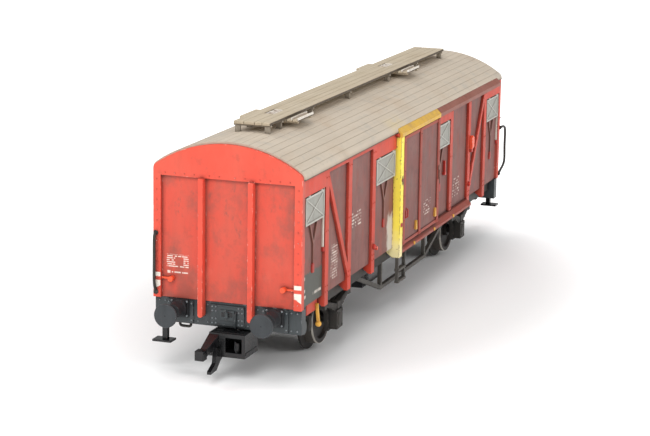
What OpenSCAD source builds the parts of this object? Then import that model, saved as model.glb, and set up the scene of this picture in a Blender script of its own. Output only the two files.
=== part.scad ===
// Two-axle covered goods wagon, a 1:120 scale model.
// +X runs along the wagon, +Z is up, and the floor that it stands on is z = 0.
// Heights named "above the rail" are measured from the wheel treads' lowest line.
// A side piece is drawn once, facing +Y, with its door sliding towards +X.
// An end piece is drawn once, facing +X. The other side and end are turned copies.

/* [Body] */
// Length of the body over its end walls
body_l = 106.5; // [96:0.5:130]
// Width of the body over its corner posts
body_w = 22.7; // [22:0.1:27.5]
// Height of the body's lower edge above the rail
body_z = 10.15; // [9.9:0.05:12]
// Height of the side walls from the body's lower edge to the eaves
wall_h = 18.85; // [16.5:0.05:23]
// Thickness of the wall panels
wall_t = 0.8; // [0.5:0.05:1]
// How far the wall panels lie behind the corner posts
panel_recess = 0.45; // [0.3:0.05:0.6]
// How far the outside posts stand proud of the wall panels
post_proud = 0.45; // [0.35:0.05:0.6]
// How far the corner posts and the arched panel stand proud of the end sheet
end_proud = 0.6; // [0.4:0.05:0.8]
// Width of an outside post on the side wall
post_w = 1.5; // [1:0.05:1.8]
// Width of a corner post
corner_w = 1.15; // [1:0.05:1.4]
// Thickness of the floor
floor_t = 0.8; // [0.6:0.05:1.2]

/* [Bays] */
// Length of the end bay, from the corner to the first post's middle
bay_1 = 10.55; // [9.5:0.05:12.5]
// Length of the second bay, which holds the diagonal
bay_2 = 10.2; // [8:0.05:12]
// Distance from the wagon's middle to a door post's middle
door_post_x = 9.4; // [8:0.05:11.3]
// Length of the bay beside the door
bay_4 = 11.8; // [10.5:0.05:13]
// How far an end post stands to each side of the end wall's middle
end_post_y = 3.8; // [3:0.1:5]
// Width of an end post
end_post_w = 0.75; // [0.6:0.05:1.2]
// How far an end post stands proud of the end sheet
end_post_proud = 1.3; // [0.8:0.05:1.5]
// Depth of the arched panel's straight part below the eaves
arch_skirt = 0.9; // [0.6:0.05:1.6]

/* [Roof] */
// Rise of the roof from the eaves to its top
roof_rise = 4.5; // [3.7:0.05:5.4]
// Radius of the roof's tighter curve at the eaves
eave_r = 1.1; // [1:0.05:1.6]
// Thickness of the roof
roof_t = 0.7; // [0.5:0.05:0.9]
// How far the eaves stand out past the corner posts
eave_over = 0.25; // [0.1:0.05:0.4]
// How far the eaves hang down
eave_drop = 0.2; // [0.1:0.05:0.4]
// Half length of the roof walkway
walk_half_l = 44; // [30:0.5:46]
// Half width of the roof walkway
walk_half_w = 2.8; // [2:0.1:3.4]
// Thickness of the walkway's boards
walk_t = 0.45; // [0.3:0.05:0.7]
// Height of the walkway's top above the roof's top
walk_rise = 1.5; // [1.3:0.1:2.6]
// Distance from the wagon's middle to the middle of a side platform
platform_x = 34; // [28:0.5:36]
// Reach of a side platform from the wagon's middle line
platform_reach = 4.6; // [4.2:0.1:5.4]

/* [Doors] */
// Thickness of the door panel
door_t = 0.4; // [0.3:0.05:0.6]
// How far the door's ribs stand proud of its panel
door_rib = 0.25; // [0.15:0.05:0.4]
// Distance from the wagon's middle to the door's closing edge
door_close_x = 8.55; // [7.2:0.05:10.4]
// Distance from the wagon's middle to the door's other edge
door_far_x = 11.2; // [10.6:0.05:13.4]
// Width of the coloured door post
door_post_w = 1.5; // [1.2:0.05:1.6]
// How far the door post stands proud of the wall panels
door_post_proud = 1.25; // [1.1:0.05:1.5]
// Free space between the door and the posts that it slides past
door_gap = 0.2; // [0.15:0.05:0.35]
// Free space above the door's panel and below it
door_play = 0.2; // [0.15:0.05:0.3]
// Height of the door's top rail
hood_h = 0.9; // [0.8:0.05:1.2]
// Depth of the slot in the top rail
slot_h = 0.4; // [0.3:0.05:0.5]
// Thickness of the tongue that hangs in the top rail's slot
tongue_t = 0.2; // [0.15:0.01:0.25]
// Height of the lower rail
rail_h = 1.0; // [0.8:0.05:1.2]

/* [Vents] */
// Height of a vent flap
flap_h = 4.1; // [3.5:0.1:5]
// Thickness of a vent flap
flap_t = 0.35; // [0.2:0.05:0.4]
// Depth from the eaves to a vent flap's top edge
flap_drop = 2.9; // [2.5:0.01:3.5]
// Free strip between a vent flap and the posts beside it
flap_side = 0.5; // [0.4:0.05:1]

/* [Underframe] */
// Height of a sole bar
sole_h = 2.1; // [1.6:0.05:2.4]
// Thickness of a sole bar
sole_t = 0.9; // [0.6:0.05:1.1]
// Distance from the middle line to a sole bar's outer face
sole_y = 10; // [9.6:0.05:10.1]
// Thickness of a headstock along the wagon
headstock_t = 1.6; // [1.2:0.1:2]
// Height of a headstock
headstock_h = 3.6; // [3:0.05:3.7]
// Distance from the middle line to a buffer
buffer_y = 7.29; // [7:0.01:7.6]
// Height of the buffers above the rail
buffer_z = 8.83; // [8.5:0.01:8.9]
// Length of a buffer from the end wall's face to its own face
buffer_l = 5.15; // [4:0.05:6]
// Diameter of a buffer head
buffer_d = 3.5; // [3:0.1:4]

/* [Running gear] */
// Distance between the two axles
wheelbase = 66.7; // [60:0.1:72]
// Diameter of the wheel treads
tread_d = 8.3; // [7.5:0.1:8.6]
// Depth of the wheel flanges
flange_depth = 0.9; // [0.5:0.05:1]
// Distance between the wheels' inner faces
back_to_back = 10.2; // [10:0.05:10.3]
// Thickness of a wheel flange
flange_t = 0.7; // [0.5:0.05:0.8]
// Width of a wheel
wheel_w = 2.3; // [2.1:0.05:2.4]
// Diameter of the axle between the wheels
axle_d = 1.5; // [1.2:0.1:1.8]
// Diameter of the axle's journals
journal_d = 1.0; // [0.8:0.05:1.1]
// Radial clearance of a journal in its axle box
journal_play = 0.06; // [0.03:0.01:0.09]
// Distance from the middle line to an axle guard's inner face
guard_y = 8.4; // [8.2:0.05:8.5]
// Thickness of an axle guard's plate
guard_t = 0.6; // [0.4:0.05:0.7]
// Free space between a brake block and the wheel tread
block_gap = 0.35; // [0.25:0.05:0.5]

/* [Couplers] */
// Distance from the end wall's face back to a coupler's pivot
pivot_back = 7.2; // [6:0.1:8]
// Height of a coupler's shank above the rail
shank_z = 4.9; // [4.6:0.05:5.2]
// Diameter of a coupler's pivot pin
pivot_d = 1.0; // [0.8:0.05:1.2]
// Radial clearance of a coupler on its pivot pin
pivot_play = 0.08; // [0.05:0.01:0.1]
// Free space between a coupler and what holds it
coupler_gap = 0.25; // [0.15:0.05:0.3]

/* [Hidden] */
$fn = 48;
// Number of steps in a roof profile's tight curve and in its wide curve
eave_steps = 5;
crown_steps = 20;
// A cut runs this far past the face that it opens
cut = 1;
// A raised piece sinks this far into the one that carries it
bed = 0.5;

eave_z = body_z + wall_h;
wall_y = body_w / 2 - panel_recess;
post_y = wall_y + post_proud;
end_x = body_l / 2;
sheet_x = end_x - end_proud;
wall_end_x = sheet_x - wall_t;
roof_half_w = body_w / 2 + eave_over;
frame_top = eave_z - eave_drop;
// The roof's front edge stands this far above the arched panel
rim = 0.3;

// Post middles on the side, from the corner inwards
post_1 = end_x - bay_1;
post_2 = post_1 - bay_2;
post_3 = door_post_x + bay_4;
corner_in = end_x - corner_w;

// The sliding door, its rails and its opening
door_y = post_y + door_gap;
door_out = door_y + door_t;
hood_bottom = frame_top - (hood_h - eave_drop);
hood_out = door_out + 0.35;
hood_end = end_x - 3.9;
rail_top = body_z - 0.05;
rail_bottom = rail_top - rail_h;
rail_end = post_2 - post_w / 2;
door_top = hood_bottom - door_play;
door_bottom = rail_top + door_play;
slot_play = 0.1;
jamb_x = door_post_x - door_post_w / 2;
opening_top = hood_bottom - 0.8;
rib_w = 1.0;
rib_x = 0.6;
post_foot = 1.6;
foot_slope = 0.9;
rib_edge = 0.15;
edge_h = 0.5;
tongue_in = 0.5;
tongue_y = door_y + (door_t - tongue_t) / 2;
hood_lip = 0.6;
// How far the top rail's cover rises over the roof's edge, and how far in it reaches there
hood_rise = 0.55;
hood_in = 0.2;
rail_lip = 0.4;
rail_in = 0.1;

// Outside frame
diagonal_w = 0.9;
eaves_strip = 0.6;
board_gap = 0.2;
end_foot = 1.9;
gusset_x = end_x - 4.85;
gusset_l = 4.4;
gusset_h = 1.9;
gusset_t = 0.4;

// Vent flaps: the low and high ends of each, along the side
flap_top = eave_z - flap_drop;
flap_bottom = flap_top - flap_h;
flap_spans = [
    [post_1 + post_w / 2 + flap_side, corner_in - flap_side],
    [door_post_x + door_post_w / 2 + flap_side, post_3 - post_w / 2 - flap_side]
];
rod_w = 0.35;
rod_t = 0.25;
rod_drop = 3.2;
rod_length = 4.2;
handle_l = 1.2;
fork_half = 1.7;
fork_lap = 0.3;

// Roof fittings
walk_top = eave_z + roof_rise + walk_rise;
walk_bottom = walk_top - walk_t;
board_lift = 0.35;
platform_l = 6.4;
hatch_in = 1;
hatch_y = [-0.4, 1.2];
vent_half = 1.8;
vent_y = [-0.2, 1];
leg_w = 0.35;
leg_y = [walk_half_w - 0.9, walk_half_w - 0.1];
platform_places = [-platform_x, platform_x - 14.5];
bracket_places = [-walk_half_l + 0.5, -platform_x - 4.9, -platform_x + 8.3, -8.2,
    platform_places[1] - 7.4, platform_places[1] + 8.1, walk_half_l - 1.3];

// Underframe
sole_bottom = body_z - sole_h;
headstock_top = body_z - 0.05;
headstock_bottom = headstock_top - headstock_h;
headstock_x = sheet_x - headstock_t;
headstock_in = 0.1;
plate_t = 0.25;
plate_half = 2.6;
plate_edge = 0.3;
buffer_plate = 2;
buffer_box = 1.35;
buffer_box_l = 0.9;
barrel_l = 2;
barrel_d = [2.6, 1.9];
plunger_d = 1.2;
head_t = 0.6;
buffer_face = end_x + buffer_l;
axle_x = wheelbase / 2;
tread_r = tread_d / 2;
flange_r = tread_r + flange_depth;
axle_z = tread_r;
flange_in = back_to_back / 2;
// The wheel's outline as radius and distance from the middle line, from the axle out and back
hub_r = 1.3;
web_r = tread_r - 1;
wheel_out = flange_in + wheel_w;
wheel_profile = [
    [0, flange_in - 0.2], [hub_r, flange_in - 0.2], [hub_r, flange_in + 0.3], [web_r, flange_in + 0.3],
    [web_r + 0.2, flange_in], [flange_r - 0.25, flange_in], [flange_r, flange_in + 0.25],
    [flange_r, flange_in + 0.45], [tread_r, flange_in + flange_t], [tread_r - 0.1, wheel_out],
    [web_r + 0.2, wheel_out], [web_r, wheel_out - 0.5], [hub_r, wheel_out - 0.5],
    [hub_r, wheel_out + 0.2], [0, wheel_out + 0.2]
];
shoulder_gap = 0.25;
// Axle guard: half widths of its plate at the top and foot, its spring and its box
guard_top = 4.2;
guard_foot = 1.5;
guard_flare = 2.4;
guard_drop = 1.7;
spring_y0 = sole_y - sole_t + 0.05;
spring_y1 = sole_y - 0.05;
spring_half = 5.4;
spring_h = 0.8;
shackle = [0.9, 1.3];
box_half = 1.3;
// Brake blocks
block_y0 = flange_in + flange_t + 0.3;
block_y1 = wheel_out - 0.1;
block_low = 1;
block_high = 1.4;
hanger_t = 0.5;
box_out = guard_y + 1.9;
journal_end = box_out - 0.55;
cross_t = 0.8;
sill_y = 1.6;
sill_t = 0.8;
sill_bottom = sole_bottom + 0.3;
cross_places = [axle_x + 8.5, axle_x - 9.5, door_post_x - 2];
// The brake gear's box as low and high corners, the air tank and the ballast plate
brake_box = [[-17, -sole_y + sole_t + 0.8, sole_bottom - 3.2], [-9.2, -2.6, body_z]];
tank_r = 1.9;
tank_at = [-4.6, 5.4, body_z - tank_r - 0.9];
tank_l = 11;
strap_places = [-3, 4.4];
strap_w = 0.6;
ballast_size = [76, 12, 1.2];

// Truss bar under the doors
truss_y = sole_y - 0.8;
truss_t = 0.6;
truss_bar = 0.6;
truss_low = 3.9;
truss_half = 11.8;
truss_foot = axle_x - 8.85;
truss_post = 0.6;

// Steps, rails and small fittings
step_x0 = -door_post_x - door_post_w / 2;
step_x1 = step_x0 + 3.9;
step_y0 = wall_y + 0.5;
step_y1 = step_y0 + 0.7;
step_z = 4.4;
step_t = 0.4;
tread_rise = 1.9;
shunter_plate = [[headstock_x + 0.1, -11.6], [headstock_x + 2.1, -8.7]];
shunter_hanger = [[headstock_x + 0.7, -10.3], [headstock_x + 1.4, -9.5]];
plate_h = 0.3;
// The front step hangs lower than the rear one
front_step = 3.4;
rear_step = 5;
grip_d = 0.55;
grab_y0 = 5.9;
grab_y1 = 7.6;
grab_drop = 0.55;
// How far each corner handrail is bent out from the end wall, and how far it stands out sideways
front_rail = [0.6, -0.15];
rear_rail = [4, 0.25];
rail_high = 19.6;
rail_low = 10.9;
lamp_y = [8.5, 8.6];
lamp_z = body_z + 2.7;
lamp_strip = 0.3;
lamp_d = 0.8;
lamp_l = 0.9;
lever_t = 0.4;
lever_w = 0.35;
lever_start = [-gusset_x + 3.8, body_z - 0.95];
lever_end = [-gusset_x + 4.6, body_z - 3.95];
knob_r = 0.45;
hook_x = headstock_x - 1.6;
hook_z = body_z - 3.4;
hook_t = 0.5;
hook_r = 1;
hook_eye = 0.45;

// Couplers
pivot_x = end_x - pivot_back;
shank_t = 1.0;
eye_r = 1.4;
head_x0 = 4;
head_x1 = 9;
head_y0 = -1.9;
head_y1 = 3.6;
head_bottom = 2.8;
head_top = headstock_bottom - coupler_gap;
// The catch in the coupler's head and the horn under it, along the wagon and up
catch_outline = [
    [head_x0 + 1, head_bottom + 0.2], [head_x1 - 0.6, head_bottom + 0.2], [head_x1 - 0.6, head_top - 1.4],
    [head_x1 - 1.2, head_top - 1.4], [head_x1 - 1.6, head_bottom + 1.2], [head_x0 + 1, head_bottom + 1.2]
];
horn_outline = [
    [head_x1 - 2, head_bottom + 0.4], [head_x1 + 1.2, head_bottom + 1.6], [head_x1 + 1.6, head_bottom - 0.6],
    [head_x1 + 3.4, head_bottom - 1.4], [head_x1 + 3.4, head_bottom - 1.8],
    [head_x1 + 1.2, head_bottom - 1.7], [head_x1 - 0.2, head_bottom - 0.6], [head_x1 - 2, head_bottom]
];
pocket = [2.2, 2.4, 0.6];
pocket_top = sole_bottom + 0.3;
shank_low = shank_z - shank_t / 2;
shank_high = shank_z + shank_t / 2;
shank_half = 0.9;
keeper = 0.4;

// ---- Places -------------------------------------------------------------

// Lifts heights measured from the rail to heights above the flanges' lowest line
module above_rail() translate([0, 0, flange_depth]) children();

// A side piece on its side of the wagon
module on_left() above_rail() mirror([0, 1, 0]) children();
module on_right() above_rail() mirror([1, 0, 0]) children();

// An end piece on its end of the wagon
module at_rear() above_rail() children();
module at_front() above_rail() rotate([0, 0, 180]) children();

// Both halves of a piece that is the same on each side of the middle line
module each_side() {
    children();
    mirror([0, 1, 0]) children();
}

// Both halves of a piece that is the same towards each end
module each_end() {
    children();
    mirror([1, 0, 0]) children();
}

// ---- Shapes -------------------------------------------------------------

// A box given by its low and high corners
module block(low, high) translate(low) cube(high - low);

// An outline in X and Z, made thick along Y
module along_y(y0, y1) translate([0, y1, 0]) rotate([90, 0, 0]) linear_extrude(y1 - y0) children();

// An outline in Y and Z, made thick along X
module along_x(x0, x1) translate([x0, 0, 0]) rotate([90, 0, 90]) linear_extrude(x1 - x0) children();

// A flat strip from one point to another in an outline
module strip(from, to, width) {
    run = to - from;
    translate(from) rotate(atan2(run[1], run[0]))
        translate([0, -width / 2]) square([norm(run), width]);
}

// A bent bar's outline through a list of points, with round bends
module bent_bar(points, width) {
    for (i = [0:len(points) - 2]) strip(points[i], points[i + 1], width);
    for (point = points) translate(point) circle(d = width, $fn = 16);
}

// The roof's outline: a wide curve with a tighter curve at each of the eaves
function crown_r(half, rise, tight) =
    (pow(half - tight, 2) + rise * rise - tight * tight) / (2 * (rise - tight));

function eave_curve(half, tight, turn) = [
    for (i = [0:eave_steps])
        let (a = 90 - (90 - turn) * i / eave_steps)
        [half - tight + tight * sin(a), tight * cos(a)]
];

function arch(half, rise, tight) =
    let (
        big = crown_r(half, rise, tight),
        turn = atan2(half - tight, big - rise),
        right = eave_curve(half, tight, turn)
    )
    concat(
        right,
        [for (i = [1:crown_steps - 1])
            let (a = turn * (1 - 2 * i / crown_steps))
            [big * sin(a), rise - big + big * cos(a)]],
        [for (i = [eave_steps:-1:0]) [-right[i][0], right[i][1]]]
    );

module roof_outline() translate([0, eave_z]) polygon(arch(roof_half_w, roof_rise, eave_r));
module under_roof() translate([0, eave_z])
    polygon(arch(roof_half_w - roof_t, roof_rise - roof_t, max(eave_r - roof_t, 0.1)));
module whole_roof() {
    roof_outline();
    translate([-roof_half_w, frame_top]) square([2 * roof_half_w, eave_drop]);
}

// Height of the roof's outer surface at a distance from the middle line
function roof_z(y) =
    let (big = crown_r(roof_half_w, roof_rise, eave_r))
    eave_z + roof_rise - big + sqrt(big * big - y * y);

// ---- Body ---------------------------------------------------------------

module floor_plate() color("dimgray") above_rail()
    block([-wall_end_x, -wall_y + wall_t, body_z], [wall_end_x, wall_y - wall_t, body_z + floor_t]);

// A side wall up to the roof's underside, with its door opening
module side_wall() color("rosybrown") difference() {
    union() {
        block([-wall_end_x, wall_y - wall_t, body_z], [wall_end_x, wall_y, eave_z]);
        intersection() {
            block([-wall_end_x, wall_y - wall_t, eave_z - cut],
                [wall_end_x, wall_y, eave_z + roof_rise]);
            along_x(-wall_end_x, wall_end_x) {
                under_roof();
                translate([0, eave_z - cut]) square([wall_y, cut]);
            }
        }
    }
    block([-jamb_x, wall_y - wall_t - cut, body_z + floor_t], [jamb_x, wall_y + cut, opening_top]);
}

// An end wall: sheet, corner posts, arched panel and two posts that run down past the sheet
module end_wall() color("orangered") union() {
    along_x(wall_end_x, sheet_x) intersection() {
        union() {
            under_roof();
            translate([-wall_y, body_z]) square([2 * wall_y, wall_h]);
        }
        translate([-wall_y, body_z]) square([2 * wall_y, wall_h + roof_rise]);
    }
    along_x(sheet_x, end_x) {
        translate([0, eave_z]) polygon(arch(body_w / 2, roof_rise - rim, eave_r - rim / 2));
        translate([-body_w / 2, eave_z - arch_skirt]) square([body_w, arch_skirt]);
    }
    each_side() {
        block([sheet_x - bed, body_w / 2 - corner_w, body_z], [end_x, body_w / 2, frame_top]);
        block([corner_in, wall_y, body_z], [end_x, body_w / 2, frame_top]);
        along_x(sheet_x, sheet_x + end_post_proud) translate([end_post_y, 0]) {
            translate([-end_post_w / 2, body_z - end_foot])
                square([end_post_w, wall_h + end_foot - arch_skirt]);
            translate([0, body_z - end_foot]) circle(d = end_post_w, $fn = 24);
        }
    }
}

module roof_shell() color("tan") above_rail() along_x(-sheet_x, sheet_x) difference() {
    whole_roof();
    under_roof();
    translate([-roof_half_w + roof_t, frame_top - cut])
        square([2 * (roof_half_w - roof_t), eave_drop + cut]);
}

// ---- Outside frame ------------------------------------------------------

// The outline of posts, diagonals, the strip under the eaves and the boards over the vents
module frame_outline() {
    for (x = [post_1, post_2, post_3]) each_way(x)
        square([post_w, frame_top - body_z]);
    translate([door_post_x - post_w / 2, body_z]) square([post_w, frame_top - body_z]);
    for (way = [-1, 1]) {
        strip([way * post_1, frame_top - diagonal_w / 2], [way * post_2, body_z + diagonal_w / 2],
            diagonal_w);
        for (span = flap_spans)
            translate([way > 0 ? span[0] - flap_side : -span[1] - flap_side, flap_top + board_gap])
                square([span[1] - span[0] + 2 * flap_side, frame_top - flap_top - board_gap]);
    }
    translate([-corner_in, frame_top - eaves_strip]) square([2 * corner_in, eaves_strip]);
}

// A post's outline stands at x towards each end
module each_way(x) {
    translate([x - post_w / 2, body_z]) children();
    translate([-x - post_w / 2, body_z]) children();
}

// The sloping part of a foot, between the sole bar and the wall panel's plane
module foot_web(x0, x1) along_x(x0, x1) polygon([
    [sole_y, body_z - foot_slope], [wall_y, body_z - post_foot], [wall_y, body_z], [sole_y, body_z]
]);

// The foot under a post, cranked in to the sole bar
module post_foot_piece(x) {
    block([x - post_w / 2, wall_y, body_z - post_foot], [x + post_w / 2, post_y, body_z]);
    foot_web(x - post_w / 2, x + post_w / 2);
}

// The posts, boards and feet, with the gusset plate that carries the changeover lever

module side_frame() color("firebrick") difference() {
    union() {
        along_y(wall_y, post_y) frame_outline();
        for (x = [-post_1, -post_2, -post_3, post_1, post_2]) post_foot_piece(x);
        block([-gusset_x, sole_y, body_z - gusset_h], [-gusset_x + gusset_l, sole_y + gusset_t, body_z]);
    }
    block([-door_post_x - door_post_w / 2, wall_y - cut, hood_bottom],
        [hood_end, post_y + cut, frame_top + cut]);
    block([-door_post_x - door_post_w / 2, wall_y - cut, body_z - cut],
        [-door_post_x + door_post_w / 2, post_y + cut, frame_top + cut]);
    block([-jamb_x, wall_y - cut, body_z + floor_t], [jamb_x, post_y + cut, opening_top]);
}

// The coloured post that the door closes on
module door_post() color("gold") {
    block([-door_post_x - door_post_w / 2, wall_y, body_z - post_foot],
        [-jamb_x, wall_y + door_post_proud, hood_bottom]);
    foot_web(-door_post_x - door_post_w / 2, -jamb_x);
}

// The hooded rail that the door hangs from, with the slot for the door's tongue
module top_rail() color("brown") difference() {
    along_x(-door_post_x - door_post_w / 2, hood_end) difference() {
        polygon([
            [wall_y, hood_bottom], [hood_out, hood_bottom], [hood_out, hood_bottom + hood_lip],
            [roof_half_w - hood_in, eave_z + hood_rise], [roof_half_w - hood_in, frame_top],
            [wall_y, frame_top]
        ]);
        whole_roof();
    }
    block([-jamb_x, tongue_y - slot_play, hood_bottom - cut],
        [hood_end - cut, tongue_y + tongue_t + slot_play, hood_bottom + slot_h]);
}

// The lower rail in front of the sole bar, under the door's lower edge
module lower_rail() color("indianred") along_x(-jamb_x, rail_end) polygon([
    [sole_y, rail_bottom], [hood_out - rail_in, rail_bottom], [hood_out - rail_in, rail_bottom + rail_lip],
    [door_y - rail_in, rail_top], [sole_y, rail_top]
]);

// The door: panel, ribs and the tongue that hangs in the top rail
module door() color("rosybrown") union() {
    block([-door_close_x, door_y, door_bottom], [door_far_x, door_out, door_top]);
    for (x = [-door_close_x, rib_x - rib_w / 2, door_far_x - rib_w])
        block([x, door_out - door_t / 2, door_bottom], [x + rib_w, door_out + door_rib, door_top]);
    for (z = [door_bottom, door_top - edge_h])
        block([-door_close_x, door_out - door_t / 2, z], [door_far_x, door_out + rib_edge, z + edge_h]);
    block([-door_close_x + tongue_in, tongue_y, door_top - edge_h],
        [door_far_x - tongue_in, tongue_y + tongue_t, hood_bottom + slot_h - door_play]);
}

// ---- Vents --------------------------------------------------------------

module vent_flaps() color("darkgray") for (span = flap_spans, way = [-1, 1])
    block([way > 0 ? span[0] : -span[1], wall_y, flap_bottom],
        [way > 0 ? span[1] : -span[0], wall_y + flap_t, flap_top]);

// The forked rod under each vent flap, with the handle at its lower end
module flap_rod_set() color("dimgray") for (span = flap_spans, way = [-1, 1])
    along_y(wall_y, wall_y + rod_t) {
        middle = way * (span[0] + span[1]) / 2;
        fork = flap_bottom - rod_drop;
        intersection() {
            for (side = [-1, 1])
                strip([middle + side * fork_half, flap_bottom + fork_lap], [middle, fork], rod_w);
            translate([middle - 2 * fork_half, fork - cut])
                square([4 * fork_half, flap_bottom - fork + cut]);
        }
        strip([middle, fork + fork_lap], [middle, fork - rod_length], rod_w);
        strip([middle, fork - rod_length + handle_l], [middle, fork - rod_length], 2 * rod_w);
    }

// ---- Roof fittings ------------------------------------------------------

// The walkway with its side platforms
module walkway_boards() color("burlywood") above_rail() difference() {
    union() {
        block([-walk_half_l, -walk_half_w, walk_bottom], [walk_half_l, walk_half_w, walk_top]);
        for (x = platform_places)
            block([x - platform_l / 2, -platform_reach, walk_bottom - board_lift],
                [x + platform_l / 2, platform_reach, walk_bottom]);
    }
    for (x = platform_places)
        block([x - platform_l / 2 + hatch_in, hatch_y[0], walk_bottom - cut],
            [x + platform_l / 2 - hatch_in, hatch_y[1], walk_top + cut]);
}

// A leg from the roof's surface to the walkway's underside, on each side of the middle line
module walkway_legs() color("gray") above_rail() for (x = bracket_places) each_side() difference() {
    block([x - leg_w / 2, leg_y[0], roof_z(walk_half_w) - cut], [x + leg_w / 2, leg_y[1], walk_bottom]);
    along_x(x - cut, x + cut) roof_outline();
}

// Low vent heads on the roof beside the platforms
module vent_heads() color("gainsboro") above_rail() for (x = platform_places) difference() {
    block([x - vent_half, vent_y[0], roof_z(0) - cut], [x + vent_half, vent_y[1], walk_bottom - board_lift]);
    along_x(x - vent_half - cut, x + vent_half + cut) roof_outline();
}

// ---- Underframe ---------------------------------------------------------

module sole_bar_pair() color("dimgray") above_rail() each_side()
    block([-headstock_x, sole_y - sole_t, sole_bottom], [headstock_x, sole_y, body_z]);

module sill_pair() color("dimgray") above_rail() each_side()
    block([-headstock_x, sill_y, sill_bottom], [headstock_x, sill_y + sill_t, body_z]);

// The cross members: pieces between the sills and from each sill to its sole bar
module cross_member_set() color("dimgray") above_rail() for (x = cross_places) each_end() {
    block([x - cross_t / 2, -sill_y, sill_bottom], [x + cross_t / 2, sill_y, body_z]);
    each_side() block([x - cross_t / 2, sill_y + sill_t, sill_bottom],
        [x + cross_t / 2, sole_y - sole_t, body_z]);
}

// A headstock with its middle plate and the plates behind the buffers
module headstock() color("darkslategray") union() {
    block([headstock_x, -body_w / 2 + headstock_in, headstock_bottom],
        [sheet_x, body_w / 2 - headstock_in, headstock_top]);
    block([sheet_x - bed, -plate_half, headstock_bottom + plate_edge],
        [sheet_x + plate_t, plate_half, headstock_top - plate_edge]);
    each_side() block([sheet_x - bed, buffer_y - buffer_plate, headstock_bottom + plate_edge / 2],
        [sheet_x + plate_t, buffer_y + buffer_plate, headstock_top - plate_edge / 2]);
}

// Two buffers: base box, tapered barrel, plunger and head
module buffer_pair() color("slategray") each_side() translate([sheet_x + plate_t, buffer_y, buffer_z]) {
    reach = buffer_face - sheet_x - plate_t;
    block([0, -buffer_box, -buffer_box], [buffer_box_l, buffer_box, buffer_box]);
    rotate([0, 90, 0]) {
        translate([0, 0, buffer_box_l]) cylinder(d1 = barrel_d[0], d2 = barrel_d[1], h = barrel_l);
        cylinder(d = plunger_d, h = reach - head_t);
        translate([0, 0, reach - head_t]) cylinder(d = buffer_d, h = head_t);
    }
}

// An axle guard: the plate, axle box, leaf spring and spring hangers
module axle_guard() difference() {
    union() {
        along_y(guard_y, guard_y + guard_t) difference() {
            polygon([
                [-guard_top - guard_flare, body_z], [-guard_foot - 0.4, axle_z + 0.9],
                [-guard_foot, axle_z - guard_drop], [guard_foot, axle_z - guard_drop],
                [guard_foot + 0.4, axle_z + 0.9], [guard_top + guard_flare, body_z]
            ]);
            polygon([[-guard_top - 0.6, body_z - 1.1], [-0.8, axle_z + 2.6], [0.8, axle_z + 2.6],
                [guard_top + 0.6, body_z - 1.1]]);
        }
        block([-box_half, guard_y, axle_z - box_half - 0.1], [box_half, box_out, axle_z + box_half + 0.2]);
        along_y(spring_y0, spring_y1) {
            for (x = [-spring_half, spring_half]) {
                strip([x, sole_bottom - 0.55], [0, axle_z + 1.9], spring_h);
                translate([x - shackle[0] / 2, sole_bottom - shackle[1]]) square(shackle);
            }
            translate([-0.8, axle_z + 1.2]) square([1.6, 1.2]);
        }
    }
    translate([0, guard_y - cut, axle_z]) rotate([-90, 0, 0])
        cylinder(r = journal_d / 2 + journal_play, h = box_out - 0.35 - guard_y + cut);
}

module guard_pair() color("dimgray") translate([axle_x, 0, 0]) each_side() axle_guard();

// The brake blocks at every wheel, each on a hanger from the floor
module brake_block() difference() {
    union() {
        block([tread_r, block_y0, axle_z - block_low], [flange_r + 0.35, block_y1, axle_z + block_high]);
        block([flange_r + 0.35 - hanger_t, block_y0 + 0.2, axle_z + block_high / 2],
            [flange_r + 0.35, block_y1 - 0.2, body_z]);
    }
    translate([0, block_y0 - cut, axle_z]) rotate([-90, 0, 0])
        cylinder(r = tread_r + block_gap, h = block_y1 - block_y0 + 2 * cut);
}

module all_brake_blocks() color("dimgray") above_rail() each_end() translate([axle_x, 0, 0])
    each_side() each_end() brake_block();

module brake_gear_box() color("black") above_rail() block(brake_box[0], brake_box[1]);

// The air tank under the floor, with a strap at each end
module air_tank_body() color("black") above_rail() {
    translate(tank_at) rotate([0, 90, 0]) cylinder(r = tank_r, h = tank_l);
    for (x = strap_places)
        block([x, tank_at[1] - strap_w, tank_at[2]], [x + strap_w, tank_at[1] + strap_w, body_z]);
}

// The truss bar under the sole bar
module truss() color("gray") along_y(truss_y, truss_y + truss_t) intersection() {
    union() {
        for (way = [-1, 1]) {
            strip([way * truss_half, truss_low], [way * truss_foot, sole_bottom + 0.3], truss_bar);
            translate([way * truss_half - truss_post / 2, truss_low])
                square([truss_post, sole_bottom - truss_low]);
        }
        translate([-truss_half - 0.1, truss_low - truss_bar / 2]) square([2 * truss_half + 0.2, truss_bar]);
    }
    translate([-end_x, 0]) square([2 * end_x, sole_bottom]);
}

module ballast() color("gray") above_rail()
    translate([-ballast_size[0] / 2, -ballast_size[1] / 2, body_z + floor_t]) cube(ballast_size);

// ---- Steps, rails and small fittings ------------------------------------

// Two treads under the door's closing edge, hung from the door post and the lower rail
module door_step() color("gray") {
    block([step_x0, step_y0 + 0.1, step_z], [step_x0 + step_t, step_y1 - 0.1, body_z - post_foot]);
    block([step_x1 - step_t, step_y0 + 0.1, step_z], [step_x1, step_y1 - 0.1, rail_bottom]);
    for (z = [step_z, step_z + tread_rise]) block([step_x0, step_y0, z], [step_x1, step_y1, z + step_t]);
}

// The step under a headstock's corner
module shunter_step(low) color("black") {
    block([each shunter_hanger[0], low + plate_h], [each shunter_hanger[1], headstock_bottom]);
    block([each shunter_plate[0], low], [each shunter_plate[1], low + plate_h]);
}

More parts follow.
